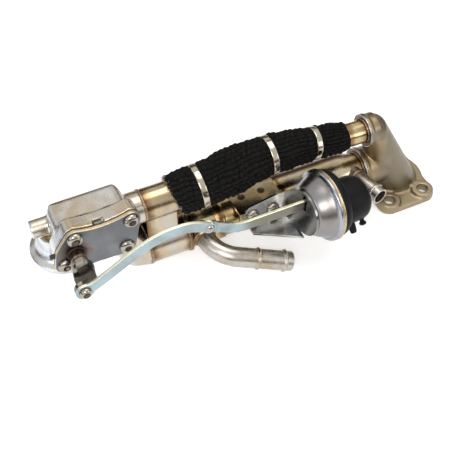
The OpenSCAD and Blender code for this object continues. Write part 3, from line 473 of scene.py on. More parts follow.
plate = {
    "base": tone(0.132, 0.137, 0.148), "pale": tone(0.18, 0.181, 0.185), "rimGold": tone(0.52, 0.42, 0.28),
    "rust": tone(0.16, 0.07, 0.03), "paintedBushShade": tone(0.03, 0.022, 0.018), "edge": tone(0.55, 0.50, 0.42),
    "shaft": (-0.288, 0.076), "ragged": 0.008, "rustReach": 0.0138, "rustShare": 0.5, "paintedShadeReach": (0.007, 0.0105),
    "paintedShadeShare": 0.9, "rimFrom": (0.8, 0.55),
}

def plateMaterial(name):  # matt bluish plate, rusty round the shaft, with painted shade in a ring close round the bush
    mat, tree, shader = startMaterial(name)
    x, _, z = axes(tree)
    dx, dz = (addMath(tree, "SUBTRACT", value, centre) for value, centre in zip((x, z), plate["shaft"]))
    away = addMath(tree, "SQRT", plus(tree, times(tree, dx, dx), times(tree, dz, dz)))
    away = plus(tree, away, centred(tree, addNoise(tree, 160.0, 5.0, 0.6), plate["ragged"]))
    colour = addMix(tree, patches(tree, 45.0, 0.4, 0.66), plate["base"], plate["pale"])
    rusty = addRange(tree, away, plate["paintedShadeReach"][1], plate["rustReach"], plate["rustShare"], 0.0)
    colour = addMix(tree, rusty, colour, plate["rust"])
    # painted shade: near black in a ring close round the shaft, where the bush shades the plate
    colour = addMix(tree, addRange(tree, away, *plate["paintedShadeReach"], plate["paintedShadeShare"], 0.0), colour, plate["paintedBushShade"])
    colour = addMix(tree, times(tree, placeGroup(tree, "edges")["Mask"], 0.9), colour, plate["edge"])
    flat = addMath(tree, "ABSOLUTE", axes(tree, "Normal")["Y"])
    colour = addMix(tree, addRange(tree, flat, *plate["rimFrom"]), colour, plate["rimGold"])
    grain = placeGrain(tree, 2000.0, 0.40, 0.16)
    closeMaterial(tree, shader, colour, grain["Roughness"], grain["Height"], (0.15, 0.0003))
    return mat

tinted = {  # heat-tinted tube: gold metal with brown and straw bands beside its welds (place, reach)
    "goldShell": {
        "base": tone(0.47, 0.36, 0.20), "pale": tone(0.50, 0.45, 0.36), "brown": tone(0.17, 0.085, 0.035),
        "straw": tone(0.55, 0.39, 0.15), "rough": 0.22, "streak": (26.0, 700.0, 700.0),
        "stations": [(-0.194, 0.012), (-0.168, 0.007), (-0.0375, 0.010), (-0.112, 0.004)],
        # painted shade under the sleeve
        "paintedSleeveShade": {"behind": (0.0035, 0.0085), "above": (0.034, 0.040), "share": 0.8, "tone": tone(0.07, 0.042, 0.022)}},
    "headerSteel": {
        "base": tone(0.36, 0.28, 0.185), "pale": tone(0.46, 0.43, 0.38), "brown": tone(0.12, 0.06, 0.028),
        "straw": tone(0.50, 0.35, 0.15), "rough": 0.23, "streak": (40.0, 500.0, 500.0),
        "stations": [(-0.229, 0.009), (-0.196, 0.008)]},
    "bypassSteel": {
        "base": tone(0.42, 0.36, 0.26), "pale": tone(0.48, 0.44, 0.36), "brown": tone(0.20, 0.11, 0.05),
        "straw": tone(0.52, 0.38, 0.16), "rough": 0.2, "streak": (26.0, 700.0, 700.0),
        "stations": [(-0.0375, 0.008), (-0.052, 0.006)]},
}

def closeStreaked(tree, shader, colour, grain, stretch, bump):
    lines = placeGroup(tree, "streaks", {"Stretch": stretch, "Depth": 0.6})
    height = plus(tree, grain["Height"], lines["Height"])
    closeMaterial(tree, shader, colour, grain["Roughness"], height, bump)

heatTint = {
    "drift": 0.012, "paleBelow": (0.036, 0.018), "paleShare": 0.75, "blotchShare": 0.5,
    "bands": (("straw", 2.2, 0.55), ("brown", 1.0, 0.9)),  # tone, times the reach, share
}

def tintedMaterial(name, spec):
    mat, tree, shader = startMaterial(name)
    x, y, z = axes(tree)
    x = plus(tree, x, centred(tree, addNoise(tree, 90.0), heatTint["drift"]))
    colour = addMix(tree, patches(tree, 28.0, 0.4, 0.66), spec["base"], spec["pale"])
    low = addRange(tree, z, *heatTint["paleBelow"], 0.0, heatTint["paleShare"])
    colour = addMix(tree, low, colour, spec["pale"])
    for centre, reach in spec["stations"]:
        for key, wider, share in heatTint["bands"]:
            near = nearStation(tree, x, centre, reach * wider)
            colour = addMix(tree, times(tree, near, share), colour, spec[key])
    blotch = patches(tree, 75.0, 0.55, 0.72, detail=6.0, roughness=0.65)
    colour = addMix(tree, times(tree, blotch, heatTint["blotchShare"]), colour, spec["brown"])
    if "paintedSleeveShade" in spec:  # painted shade: dark brown along the top of the far side, close under the sleeve, where its shadow falls
        paintedSleeveShade = spec["paintedSleeveShade"]
        underSleeve = times(tree, addRange(tree, y, *paintedSleeveShade["behind"]), addRange(tree, z, *paintedSleeveShade["above"]))
        colour = addMix(tree, times(tree, underSleeve, paintedSleeveShade["share"]), colour, paintedSleeveShade["tone"])
    closeStreaked(tree, shader, colour, placeGrain(tree, 1900.0, spec["rough"], 0.14), spec["streak"], (0.12, 0.0004))
    return mat

zinc = {  # plated strip: bluish face, with a painted highlight in cream on the upper edge
    "zincStrip": {
        "face": tone(0.33, 0.41, 0.44), "dull": tone(0.27, 0.32, 0.33), "edge": tone(0.80, 0.79, 0.62), "rough": 0.36},
    "rodZinc": {
        "face": tone(0.30, 0.37, 0.39), "dull": tone(0.22, 0.26, 0.26), "edge": tone(0.74, 0.72, 0.52), "rough": 0.28,
        "olive": tone(0.16, 0.145, 0.105), "oliveFrom": (-0.170, -0.158), "oliveShare": 0.85},
}

def zincMaterial(name, spec):
    mat, tree, shader = startMaterial(name)
    colour = addMix(tree, patches(tree, 60.0, 0.4, 0.65), spec["face"], spec["dull"])
    if "olive" in spec:
        share = addRange(tree, axes(tree)["X"], *spec["oliveFrom"], 0.0, spec["oliveShare"])
        colour = addMix(tree, share, colour, spec["olive"])
    # painted highlight: cream where the surface faces up
    colour = addMix(tree, addRange(tree, axes(tree, "Normal")["Z"], 0.45, 0.8), colour, spec["edge"])
    grain = placeGrain(tree, 2400.0, spec["rough"], 0.14)
    closeStreaked(tree, shader, colour, grain, (70.0, 900.0, 1400.0), (0.1, 0.0002))
    return mat

bushing = {
    "brown": tone(0.17, 0.075, 0.045), "dark": tone(0.045, 0.03, 0.025),
    "bright": tone(0.50, 0.44, 0.38), "bandAt": -0.0312, "bandReach": 0.0016,
    "ends": [  # from where, how much, tone
        ((-0.0334, -0.0342), 0.85, tone(0.42, 0.38, 0.33)),
        ((-0.0405, -0.0412), 0.9, tone(0.05, 0.035, 0.03)),
    ],
}

def bushMaterial(name):  # brown oxide with a rubbed bright band towards the outer end
    mat, tree, shader = startMaterial(name)
    y = axes(tree)["Y"]
    colour = addMix(tree, patches(tree, 300.0, 0.4, 0.65, detail=5.0), bushing["brown"], bushing["dark"])
    rubbed = nearStation(tree, y, bushing["bandAt"], bushing["bandReach"])
    colour = addMix(tree, times(tree, rubbed, patches(tree, 260.0, 0.3, 0.5, 0.5, 1.0)), colour, bushing["bright"])
    for span, share, endTone in bushing["ends"]:
        colour = addMix(tree, addRange(tree, y, *span, 0.0, share), colour, endTone)
    grain = placeGrain(tree, 1900.0, 0.34, 0.2)
    closeMaterial(tree, shader, colour, grain["Roughness"], grain["Height"], (0.25, 0.0004))
    return mat

yarns = {
    "knitYarn": {
        "base": tone(0.0016, 0.0015, 0.0015), "tint": tone(0.0065, 0.006, 0.0056), "crest": tone(0.021, 0.0185, 0.016),
        "fleck": tone(0.10, 0.065, 0.025), "fleckShare": 0.5},
    "glassYarn": {
        "base": tone(0.42, 0.33, 0.18), "tint": tone(0.55, 0.50, 0.40), "crest": tone(0.6, 0.52, 0.36),
        "fleck": tone(0.25, 0.15, 0.06), "fleckShare": 0.3},
}

yarnFibresAndCrestLight = {
    "lineShare": 0.45, "fibre": (170.0, 900.0, 900.0), "endFrom": (-0.186, -0.201), "endShare": (0.12, 1.0), "rough": 0.72,
}

def yarnMaterial(name, spec):  # matt yarn with painted light on its crests, and a few golden fibres near the cut end
    mat, tree, shader = startMaterial(name, {"Metallic": 0.0, "Specular IOR Level": 0.08})
    colour = addMix(tree, patches(tree, 420.0, 0.42, 0.68, detail=5.0, roughness=0.6), spec["base"], spec["tint"])
    lines = placeGroup(tree, "streaks", {"Stretch": (90.0, 520.0, 520.0), "Depth": 1.0})
    raised = placeGroup(tree, "edges", {"Low": 0.49, "High": 0.57, "Break Scale": 600.0})
    crestLightStreaks = plus(tree, times(tree, lines["Mask"], yarnFibresAndCrestLight["lineShare"]), 1 - yarnFibresAndCrestLight["lineShare"])
    # painted light: paler crests, broken along the yarn by streaks
    colour = addMix(tree, times(tree, crestLightStreaks, raised["Mask"]), colour, spec["crest"])
    along = stretched(tree, yarnFibresAndCrestLight["fibre"])
    fibre = patches(tree, 1.0, 0.66, 0.72, detail=3.0, roughness=0.6, vector=along)
    nearEnd = addRange(tree, axes(tree)["X"], *yarnFibresAndCrestLight["endFrom"], *yarnFibresAndCrestLight["endShare"])
    colour = addMix(tree, times(tree, times(tree, fibre, nearEnd), spec["fleckShare"]), colour, spec["fleck"])
    closeMaterial(tree, shader, colour, yarnFibresAndCrestLight["rough"], addNoise(tree, 2600.0, 3.0), (0.5, 0.0004))
    return mat

materials = {"coverPlate": plateMaterial("coverPlate"), "rustyBush": bushMaterial("rustyBush")}
makers = (
    (finishMaterial, finishes), (castMaterial, castings), (tintedMaterial, tinted), (zincMaterial, zinc),
    (yarnMaterial, yarns))
for make, specs in makers:
    materials.update({name: make(name, spec) for name, spec in specs.items()})
print("stage: materials", len(materials))


# CAD nodes: material and edge treatment for each

finishedNodes = {
    "castSteel": ["valve_housing", "bypass_flap"], "coverPlate": ["valve_cover"], "collectorSteel": ["outlet_collector"],
    "brightScrew": ["cover_screws", "link_pin", "link_rivet", "bracket_screws"],
    "darkRubber": ["cover_gasket", "shaft_seal", "diaphragm", "insulation_sleeve"],
    "rustyBush": ["shaft_bush", "flap_shaft"], "darkLever": ["crank_lever"],
    "zincStrip": ["pull_link"], "rodZinc": ["actuator_rod"], "bracketZinc": ["actuator_bracket"],
    "springWire": ["piston_plate", "return_spring", "tube_plate_inlet", "tube_plate_outlet", "gas_tubes"],
    "satinCan": ["actuator_can"], "blackPlastic": ["actuator_cap", "cap_cover"],
    "goldShell": ["saddle_bracket", "cooler_shell"], "headerSteel": ["inlet_header"], "bypassSteel": ["bypass_tube"],
    "bandSteel": ["sleeve_clamp_1", "sleeve_clamp_2", "sleeve_clamp_3"],
    "pipeSteel": ["coolant_outlet_pipe", "coolant_inlet_spigot"],
}
castNodes = {  # castings and pressings: remeshed and smoothed, so that every edge and corner gets a radius
    "valve_housing": {"voxel": 0.7 * mm, "rounds": 6},
    "outlet_collector": {"voxel": 0.8 * mm, "rounds": 8},
    "inlet_header": {"voxel": 0.7 * mm, "rounds": 7},
    "valve_cover": {"voxel": 0.4 * mm, "rounds": 2},
}
edgeRadius = {  # in mm, for the nodes that stay in view
    "crank_lever": 0.6, "pull_link": 0.35, "actuator_rod": 0.35, "actuator_bracket": 0.4, "saddle_bracket": 0.4,
    "shaft_bush": 0.4, "flap_shaft": 0.4, "link_rivet": 0.3, "shaft_seal": 0.3, "coolant_inlet_spigot": 0.3,
    "cover_gasket": 0.1,
}
seamGap = 0.005 * mm
bevelAngle = 35

def joinSeams(obj):
    obj.modifiers.new("joinSeams", "WELD").merge_threshold = seamGap

def softenCasting(obj, spec):
    joinSeams(obj)
    cells = obj.modifiers.new("evenCells", "REMESH")
    cells.mode = "VOXEL"
    cells.voxel_size = spec["voxel"]
    cells.use_smooth_shade = True
    ease = obj.modifiers.new("castRadius", "SMOOTH")
    ease.factor = 0.5
    ease.iterations = spec["rounds"]

def breakEdges(obj, radius):
    joinSeams(obj)
    for p in obj.data.polygons:
        p.use_smooth = True
    bevel = obj.modifiers.new("brokenEdges", "BEVEL")
    bevel.width = radius * mm
    bevel.segments = 2
    bevel.limit_method = "ANGLE"
    bevel.angle_limit = math.radians(bevelAngle)
    bevel.harden_normals = False
    obj.modifiers.new("evenNormals", "WEIGHTED_NORMAL").keep_sharp = True

for finish, names in finishedNodes.items():
    for name in names:
        nodes[name].data.materials.clear()
        nodes[name].data.materials.append(materials[finish])
for name, spec in castNodes.items():
    softenCasting(nodes[name], spec)
for name, radius in edgeRadius.items():
    breakEdges(nodes[name], radius)
print("stage: CAD nodes dressed", len(nodes))


# built pieces, in mm until they are scaled

def addPiece(name, verts, faces, finishNames, body="cooler", replaced=(), faceMats=None):
    mesh = bpy.data.meshes.new(name)
    mesh.from_pydata([tuple(v) for v in verts], [], faces)
    for finish in finishNames:
        mesh.materials.append(materials[finish])
    mesh.polygons.foreach_set("use_smooth", [True] * len(faces))
    if faceMats is not None:
        mesh.polygons.foreach_set("material_index", faceMats)
    mesh.update()
    obj = bpy.data.objects.new(name, mesh)
    scene.collection.objects.link(obj)
    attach(obj, body)
    if replaced:
        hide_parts(*replaced)
    return obj

def gridFaces(rows, columns, first=0, wrapRows=False):  # rows of points, each row closed on itself
    faces = []
    for i in range(rows if wrapRows else rows - 1):
        a, b = first + i * columns, first + (i + 1) % rows * columns
        for j in range(columns):
            k = (j + 1) % columns
            faces.append((a + j, a + k, b + k, b + j))
    return faces

def angles(count):
    return [fullTurn * k / count for k in range(count)]

def frameFor(axis):  # two directions square to an axis
    axis = Vector(axis).normalized()
    side = axis.cross(Vector((0, 0, 1)))
    if side.length < 0.1:
        side = axis.cross(Vector((0, 1, 0)))
    side.normalize()
    return axis, side, axis.cross(side).normalized()

def turnProfile(profile, segments, place, swell=None):  # rings of (place along X, radius), turned about X
    verts = []
    for x, r in profile:
        for a in angles(segments):
            wide = r * swell(x, a) if swell else r
            verts.append(place @ Vector((x, wide * math.cos(a), wide * math.sin(a))) * mm)
    return verts

def sweepTube(path, radii, segments):  # round section carried along a path
    verts, side = [], None
    for k, point in enumerate(path):
        way = (path[min(k + 1, len(path) - 1)] - path[max(k - 1, 0)]).normalized()
        side = frameFor(way)[1] if side is None else (side - way * side.dot(way)).normalized()
        other = way.cross(side)
        verts += [(point + (side * math.cos(a) + other * math.sin(a)) * radii[k]) * mm for a in angles(segments)]
    return verts, gridFaces(len(path), segments)

def addBeadRing(verts, faces, centre, axis, radius, counts, shape):  # shape gives half length, half height, drift
    axis, side, other = frameFor(axis)
    first = len(verts)
    for a in angles(counts["around"]):
        radial = side * math.cos(a) + other * math.sin(a)
        half, proud, drift = shape(a)
        for b in angles(counts["section"]):
            along = axis * (half * math.sin(b) + drift)
            verts.append((Vector(centre) + along + radial * (radius + proud * math.cos(b))) * mm)
    faces += gridFaces(counts["around"], counts["section"], first, wrapRows=True)

def easeStep(t):
    t = max(0.0, min(1.0, t))
    return t * t * (3 - 2 * t)

def between(table, t):
    for (t0, v0), (t1, v1) in zip(table, table[1:]):
        if t <= t1:
            return v0 + (v1 - v0) * easeStep((t - t0) / (t1 - t0))
    return table[-1][1]

def ripple(point, scale=1.0, octaves=3):
    return noise.fractal(Vector(point) * scale, 1.0, 2.0, octaves)

def onRing(a, reach, level, shift=0.0):
    return (math.cos(a) * reach + shift, math.sin(a) * reach, level)

outletPipe = {
    "from": (-185.0, -19.65, 34.5), "out": (0, -1, 0), "along": (0.92, -0.28, -0.29), "bend": 24.0, "straight": 45.0,
    "r": 8.0, "wall": 1.3, "flatten": 0.012, "bendSteps": 60, "straightSteps": 150, "segments": 72,
    "beads": [(6.5, 1.15, 1.5), (28.5, 1.05, 1.5)],  # place from the tip, height, half length
    "tipRound": (0.35, 0.5),
    "bore": [(0.0, 0.2), (0.3, 0.0), (12.0, 0.0), (24.0, 0.0)],  # depth, and how much wider than the bore
}

def beadLift(away, tall, half):
    return tall * math.cos(math.pi / 2 * min(1.0, abs(away) / half)) ** 1.3 if abs(away) < half else 0.0

def makeOutletPipe():
    spec = outletPipe
    out, along = Vector(spec["out"]).normalized(), Vector(spec["along"]).normalized()
    turn = math.acos(out.dot(along))
    inward = (along - out * along.dot(out)).normalized()
    path, radii = [], []
    for k in range(spec["bendSteps"] + 1):
        t = k / spec["bendSteps"]
        across = inward * spec["bend"] * (1 - math.cos(turn * t))
        path.append(Vector(spec["from"]) + across + out * spec["bend"] * math.sin(turn * t))
        radii.append(spec["r"] * (1 - spec["flatten"] * math.sin(math.pi * t)))
    bendEnd = path[-1]
    cut, reach = spec["tipRound"]
    for k in range(1, spec["straightSteps"] + 1):
        far = spec["straight"] * k / spec["straightSteps"]
        toTip = spec["straight"] - far
        lift = sum(beadLift(toTip - place, tall, half) for place, tall, half in spec["beads"])
        path.append(bendEnd + along * far)
        radii.append(spec["r"] + lift - cut * max(0.0, 1 - toTip / reach))
    verts, _ = sweepTube(path, radii, spec["segments"])
    tip = path[-1]
    outward = [(v - tip * mm).normalized() for v in verts[-spec["segments"]:]]
    for depth, wider in spec["bore"]:
        r = spec["r"] - spec["wall"] + wider
        verts += [(tip - along * depth) * mm + way * r * mm for way in outward]
    faces = gridFaces(len(verts) // spec["segments"], spec["segments"])
    addPiece("outletPipe", verts, faces, ["pipeSteel"], replaced=("coolant_outlet_pipe",))

tube = {
    "axisZ": 74.5, "bow": 8.5, "bowFrom": -196.0, "bowTo": -38.0, "ends": (-228.5, -30.6), "r": 9.75,
    "steps": 120, "segments": 72,
}

def bowAt(x):  # height of the bypass tube's axis
    if not tube["bowFrom"] < x < tube["bowTo"]:
        return tube["axisZ"]
    share = (x - tube["bowFrom"]) / (tube["bowTo"] - tube["bowFrom"])
    return tube["axisZ"] + tube["bow"] * (1 - math.cos(fullTurn * share)) / 2

def makeBypassTube():
    path = [Vector((x, 0, bowAt(x))) for x in np.linspace(*tube["ends"], tube["steps"]).tolist()]
    verts, faces = sweepTube(path, [tube["r"]] * len(path), tube["segments"])
    addPiece("bypassTube", verts, faces, ["bypassSteel"], replaced=("bypass_tube",))

shell = {  # profile along X, and a back that is deeper than the front between the ends
    "profile": [
        (-196.0, 14.5), (-196.0, 15.7), (-195.7, 16.0), (-172.5, 16.0), (-171.6, 16.15), (-170.2, 16.9), (-169.0, 17.0),
        (-167.0, 17.0), (-165.8, 16.9), (-164.4, 16.15), (-163.5, 16.0), (-98.0, 16.0), (-92.0, 15.9), (-54.0, 15.8),
        (-49.0, 15.2), (-45.0, 14.2), (-42.0, 14.0), (-31.6, 14.0), (-31.6, 12.6)],
    "axisZ": 30.5, "deeper": 0.27, "deepFrom": (-142.0, -118.0), "deepTo": (-47.0, -36.7), "dent": 0.06,
    "step": 1.5, "segments": 128,
    "collar": {  # stub for the outlet pipe: place, and rings of Y and radius
        "x": -185.0, "z": 34.5, "segments": 64,
        "rings": [(-8.0, 9.95), (-14.5, 9.85), (-15.6, 9.05), (-16.6, 8.6), (-19.5, 8.55), (-19.5, 6.55)]},
}

def shareOf(x, span):
    return easeStep((x - span[0]) / (span[1] - span[0]))

def makeShell():
    stations = []
    for (x0, r0), (x1, r1) in zip(shell["profile"], shell["profile"][1:]):
        steps = max(1, int(abs(x1 - x0) / shell["step"]))
        stations += [(x0 + (x1 - x0) * k / steps, r0 + (r1 - r0) * k / steps) for k in range(steps)]
    stations.append(shell["profile"][-1])
    verts = []
    for x, r in stations:
        deep = shareOf(x, shell["deepFrom"]) * (1 - shareOf(x, shell["deepTo"]))
        for a in angles(shell["segments"]):
            y, z = r * math.cos(a), r * math.sin(a)
            y = y * (1 + shell["deeper"] * deep) if y > 0 else y
            dent = shell["dent"] * ripple((x * 0.05, math.cos(a), math.sin(a)), 1.3) * deep
            point = Vector((x, y + dent * math.cos(a), shell["axisZ"] + z + dent * math.sin(a)))
            verts.append(point * mm)
    faces = gridFaces(len(stations), shell["segments"])
    stub = shell["collar"]
    faces += gridFaces(len(stub["rings"]), stub["segments"], len(verts))
    for y, r in stub["rings"]:
        for a in angles(stub["segments"]):
            verts.append(Vector((stub["x"] + r * math.cos(a), y, stub["z"] + r * math.sin(a))) * mm)
    addPiece("shellTube", verts, faces, ["goldShell"], replaced=("cooler_shell",))

can = {
    "at": (-113.708, -47.5, 61.167), "turnZ": 5.0, "turnY": 5.0, "segments": 144,
    "profile": [
        (0.05, 12.0), (0.0, 17.2), (0.15, 18.0), (0.6, 18.8), (1.2, 19.5), (2.4, 20.4), (4.5, 21.7), (7.0, 23.0),
        (9.5, 24.1), (11.3, 24.9), (12.4, 25.5), (13.1, 26.1), (13.5, 26.8), (13.8, 27.6), (14.1, 28.3), (14.6, 28.8),
        (15.3, 29.0), (15.9, 28.95), (16.3, 28.6), (16.5, 28.3), (16.7, 28.3), (16.95, 28.75), (17.3, 29.15),
        (17.8, 29.2), (18.3, 29.1), (18.7, 28.7), (18.88, 28.0), (18.88, 26.3), (18.0, 26.1)],
    "rollFrom": 12, "goldFrom": 20,  # rows of the profile where the rolled flange and the gold line start
}
cap = {
    "profile": [
        (18.3, 26.0), (18.92, 26.6), (19.1, 27.4), (19.6, 27.8), (22.5, 27.6), (24.5, 27.0), (26.0, 25.9), (27.0, 24.2),
        (27.45, 22.0), (27.5, 12.0), (27.5, 0.05)],
    "segments": 120,
    "nippleAt": (22.5, -9.0), "nippleSegments": 32,
    "nipple": [  # drop below the axis, radius
        (22.0, 2.3), (24.8, 2.3), (24.9, 3.3), (25.9, 3.3), (26.0, 2.5), (30.6, 2.5), (31.0, 2.2), (31.0, 1.4),
        (27.0, 1.3), (26.9, 0.05)],
}

def canFrame():
    turnZ, turnY = (Matrix.Rotation(math.radians(can["turn" + axis]), 4, axis) for axis in "ZY")
    return Matrix.Translation(Vector(can["at"])) @ turnZ @ turnY

def makeCan():
    place = canFrame()
    verts = turnProfile(can["profile"], can["segments"], place)
    faces = gridFaces(len(can["profile"]), can["segments"])
    rows = [k // can["segments"] for k in range(len(faces))]
    lines = [2 if row >= can["goldFrom"] else 1 if row >= can["rollFrom"] else 0 for row in rows]
    steels = ["satinCan", "rimSteel", "goldLine"]
    addPiece("canBell", verts, faces, steels, replaced=("actuator_can",), faceMats=lines)
    verts = turnProfile(cap["profile"], cap["segments"], place)
    faces = gridFaces(len(cap["profile"]), cap["segments"])
    faces += gridFaces(len(cap["nipple"]), cap["nippleSegments"], len(verts))
    x, y = cap["nippleAt"]
    for drop, r in cap["nipple"]:
        ring = angles(cap["nippleSegments"])
        verts += [place @ Vector((x + r * math.cos(a), y + r * math.sin(a), -drop)) * mm for a in ring]
    addPiece("capShell", verts, faces, ["blackPlastic"], replaced=("actuator_cap",))

drive = {  # inside the can: the spring and the diaphragm, each given a mesh of its own
    "spring": {
        "from": 8.05, "to": 24.45, "r": 11.0, "wire": 0.9, "turns": 4, "steps": 192, "segments": 14,
        "anchor": 25.35, "keep": 0.535},
    "diaphragm": {
        "profile": [
            (7.0, 0.05), (7.0, 16.9), (7.3, 17.7), (9.0, 18.9), (17.1, 23.9), (17.1, 25.7), (16.1, 25.7), (16.1, 24.5),
            (8.0, 20.0), (6.3, 18.4), (5.8, 17.5), (5.8, 0.05)],
        "segments": 96, "anchor": 16.5, "keep": 0.222},
}

def giveWay(piece):
    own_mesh(piece)

def makeDrive():
    place = canFrame()
    spec = drive["spring"]
    path, radii = [], []
    for k in range(spec["steps"] + 1):
        t = k / spec["steps"]
        a = fullTurn * spec["turns"] * t
        x = spec["from"] + (spec["to"] - spec["from"]) * t
        path.append(place @ Vector((x, spec["r"] * math.cos(a), spec["r"] * math.sin(a))))
        radii.append(0.05 if k in (0, spec["steps"]) else spec["wire"])
    verts, faces = sweepTube(path, radii, spec["segments"])
    giveWay(addPiece("coilSpring", verts, faces, ["springWire"], replaced=("return_spring",)))
    spec = drive["diaphragm"]
    verts = turnProfile(spec["profile"], spec["segments"], place)
    faces = gridFaces(len(spec["profile"]), spec["segments"])
    giveWay(addPiece("rollDiaphragm", verts, faces, ["darkRubber"], replaced=("diaphragm",)))

rear = {
    "shift": -4.0, "segments": 120,
    "profile": [
        (27.55, 14.0), (27.55, 17.9), (27.9, 18.4), (28.6, 18.6), (40.0, 18.5), (44.0, 18.2), (46.8, 17.3), (48.7, 15.7),
        (49.8, 13.4), (50.3, 10.5), (50.4, 5.0), (50.4, 0.05)],
    "swell": 0.02, "swellFrom": (28.0, 34.0),
    "lean": (-0.73, -0.68), "lugSegments": 32, "lugSquare": 0.6,
    "lugs": [  # place along the axis, half width along it, half thickness, and heights with the share of the section
        {"at": 34.0, "half": (3.0, 1.7), "steps": [
            (14.0, 1.0), (20.0, 1.0), (23.6, 0.95), (25.4, 0.85), (26.2, 0.6), (26.4, 0.05)]},
        {"at": 44.2, "half": (1.7, 1.7), "steps": [
            (13.0, 1.2), (17.8, 1.2), (18.6, 0.95), (19.6, 0.95), (20.4, 1.4), (21.5, 1.55), (22.4, 1.3), (23.0, 0.8),
            (23.2, 0.05)]},
    ],
}

def squarer(value):
    return math.copysign(abs(value) ** rear["lugSquare"], value)

def makeRearCover():
    place = canFrame() @ Matrix.Translation(Vector((0, rear["shift"], 0)))
    def swell(x, a):
        return 1 + rear["swell"] * math.sin(3 * a + 0.6) * shareOf(x, rear["swellFrom"])
    verts = turnProfile(rear["profile"], rear["segments"], place, swell)
    faces = gridFaces(len(rear["profile"]), rear["segments"])
    out = Vector((0, *rear["lean"])).normalized()
    across = Vector((1, 0, 0)).cross(out)
    for lug in rear["lugs"]:
        faces += gridFaces(len(lug["steps"]), rear["lugSegments"], len(verts))
        for height, share in lug["steps"]:
            for a in angles(rear["lugSegments"]):
                wide, thick = (half * share * squarer(part) for half, part in zip(lug["half"], (math.cos(a), math.sin(a))))
                verts.append(place @ (Vector((lug["at"] + wide, 0, 0)) + across * thick + out * height) * mm)
    addPiece("rearCover", verts, faces, ["blackPlastic"], replaced=("cap_cover",))

lips = {  # thin bright lips round the collector's collars: centre and radius
    "collars": [((-36.2, 0, 30.5), 17.75), ((-36.2, 0, 74.5), 13.5)],
    "thick": 0.5, "proud": 0.7, "wobble": 0.1, "around": 160, "section": 12,
}

def makeLips():
    verts, faces = [], []
    for n, (centre, radius) in enumerate(lips["collars"]):
        def shape(a):
            return lips["thick"], lips["thick"] * lips["proud"], lips["wobble"] * ripple(onRing(a, 1.4, n + 4))
        addBeadRing(verts, faces, centre, (1, 0, 0), radius, lips, shape)
    addPiece("collarLips", verts, faces, ["brightRing"])

plugs = {
    "at": [(-146.7, -3.0), (-129.2, -3.0)], "top": 48.66, "segments": 40, "rough": 0.06,
    "profile": [(0.04, 3.1), (0.22, 2.75), (0.26, 2.45), (0.05, 2.1), (-0.9, 1.75), (-1.3, 1.2), (-1.1, 0.6), (-1.0, 0.05)],
}

def makePlugs():  # plug welds that hold the saddle
    verts, faces = [], []
    for n, (x, y) in enumerate(plugs["at"]):
        faces += gridFaces(len(plugs["profile"]), plugs["segments"], len(verts))
        for height, r in plugs["profile"]:
            for a in angles(plugs["segments"]):
                rough = r * (1 + plugs["rough"] * ripple(onRing(a, 2, n)))
                verts.append(Vector((x + rough * math.cos(a), y + rough * math.sin(a), plugs["top"] + height)) * mm)
    addPiece("plugWelds", verts, faces, ["plugWeld"])

clamps = {  # band clamps: node, place along X, inner radius
    "bands": [("sleeve_clamp_1", -182.1, 17.35), ("sleeve_clamp_2", -122.3, 15.65), ("sleeve_clamp_3", -83.4, 12.85)],
    "width": 5.0, "thick": 0.7, "segments": 160, "wave": 0.05, "drift": 0.12,
    "lock": ((-2.4, -2.6), (-2.4, 2.6), (2.4, 2.6), (2.4, -2.6)),  # folded lock on the far side
    "lockLayers": ((0.0, 1.0), (1.2, 1.0), (1.7, 0.86)), "lockSink": 0.3,
}

sleeve = {
    "from": -203.0, "to": -53.5, "rows": 250, "columns": 288,
    "profile": [(0, 15.3), (0.05, 16.4), (0.14, 17.4), (0.33, 17.9), (0.54, 16.0), (0.8, 13.2), (0.93, 12.1), (1, 10.9)],
    "lean": 0.29, "leanReach": 7.0, "ragged": 0.9, "raggedReach": 3.0,
    "inner": 12.85, "tail": 9.85, "hem": (6.0, 3.0, 1.0), "hemSpread": 0.25,
    "lip": [(0.3, 0.2), (0.0, 0.55), (0.12, 0.85)], "lipGap": 0.3, "lipOuter": 15.0, "lipWave": 0.3,
    "firstRow": 0.4, "tailEnds": (0.3, -4.0),
    "wales": 26, "pitch": 4.6, "waleHeight": 1.35, "wander": 0.55, "stitchHeight": 0.3, "crinkle": 1.35,
    "nip": 0.75, "nipFrom": 2.6, "nipReach": 3.0, "nipShare": 0.8, "creaseShare": 0.7, "creaseWidth": 0.25,
    "foldNoise": (0.045, 1.1), "creaseNoise": (0.12, 0.9, 7), "laneNoise": (0.06, 1.6),  # along, across, shift
}

def onSleeve(x, angle, along, across, shift=0.0):  # a place for noise that closes round the tube
    return Vector((x * along, math.cos(angle) * across + shift, math.sin(angle) * across))

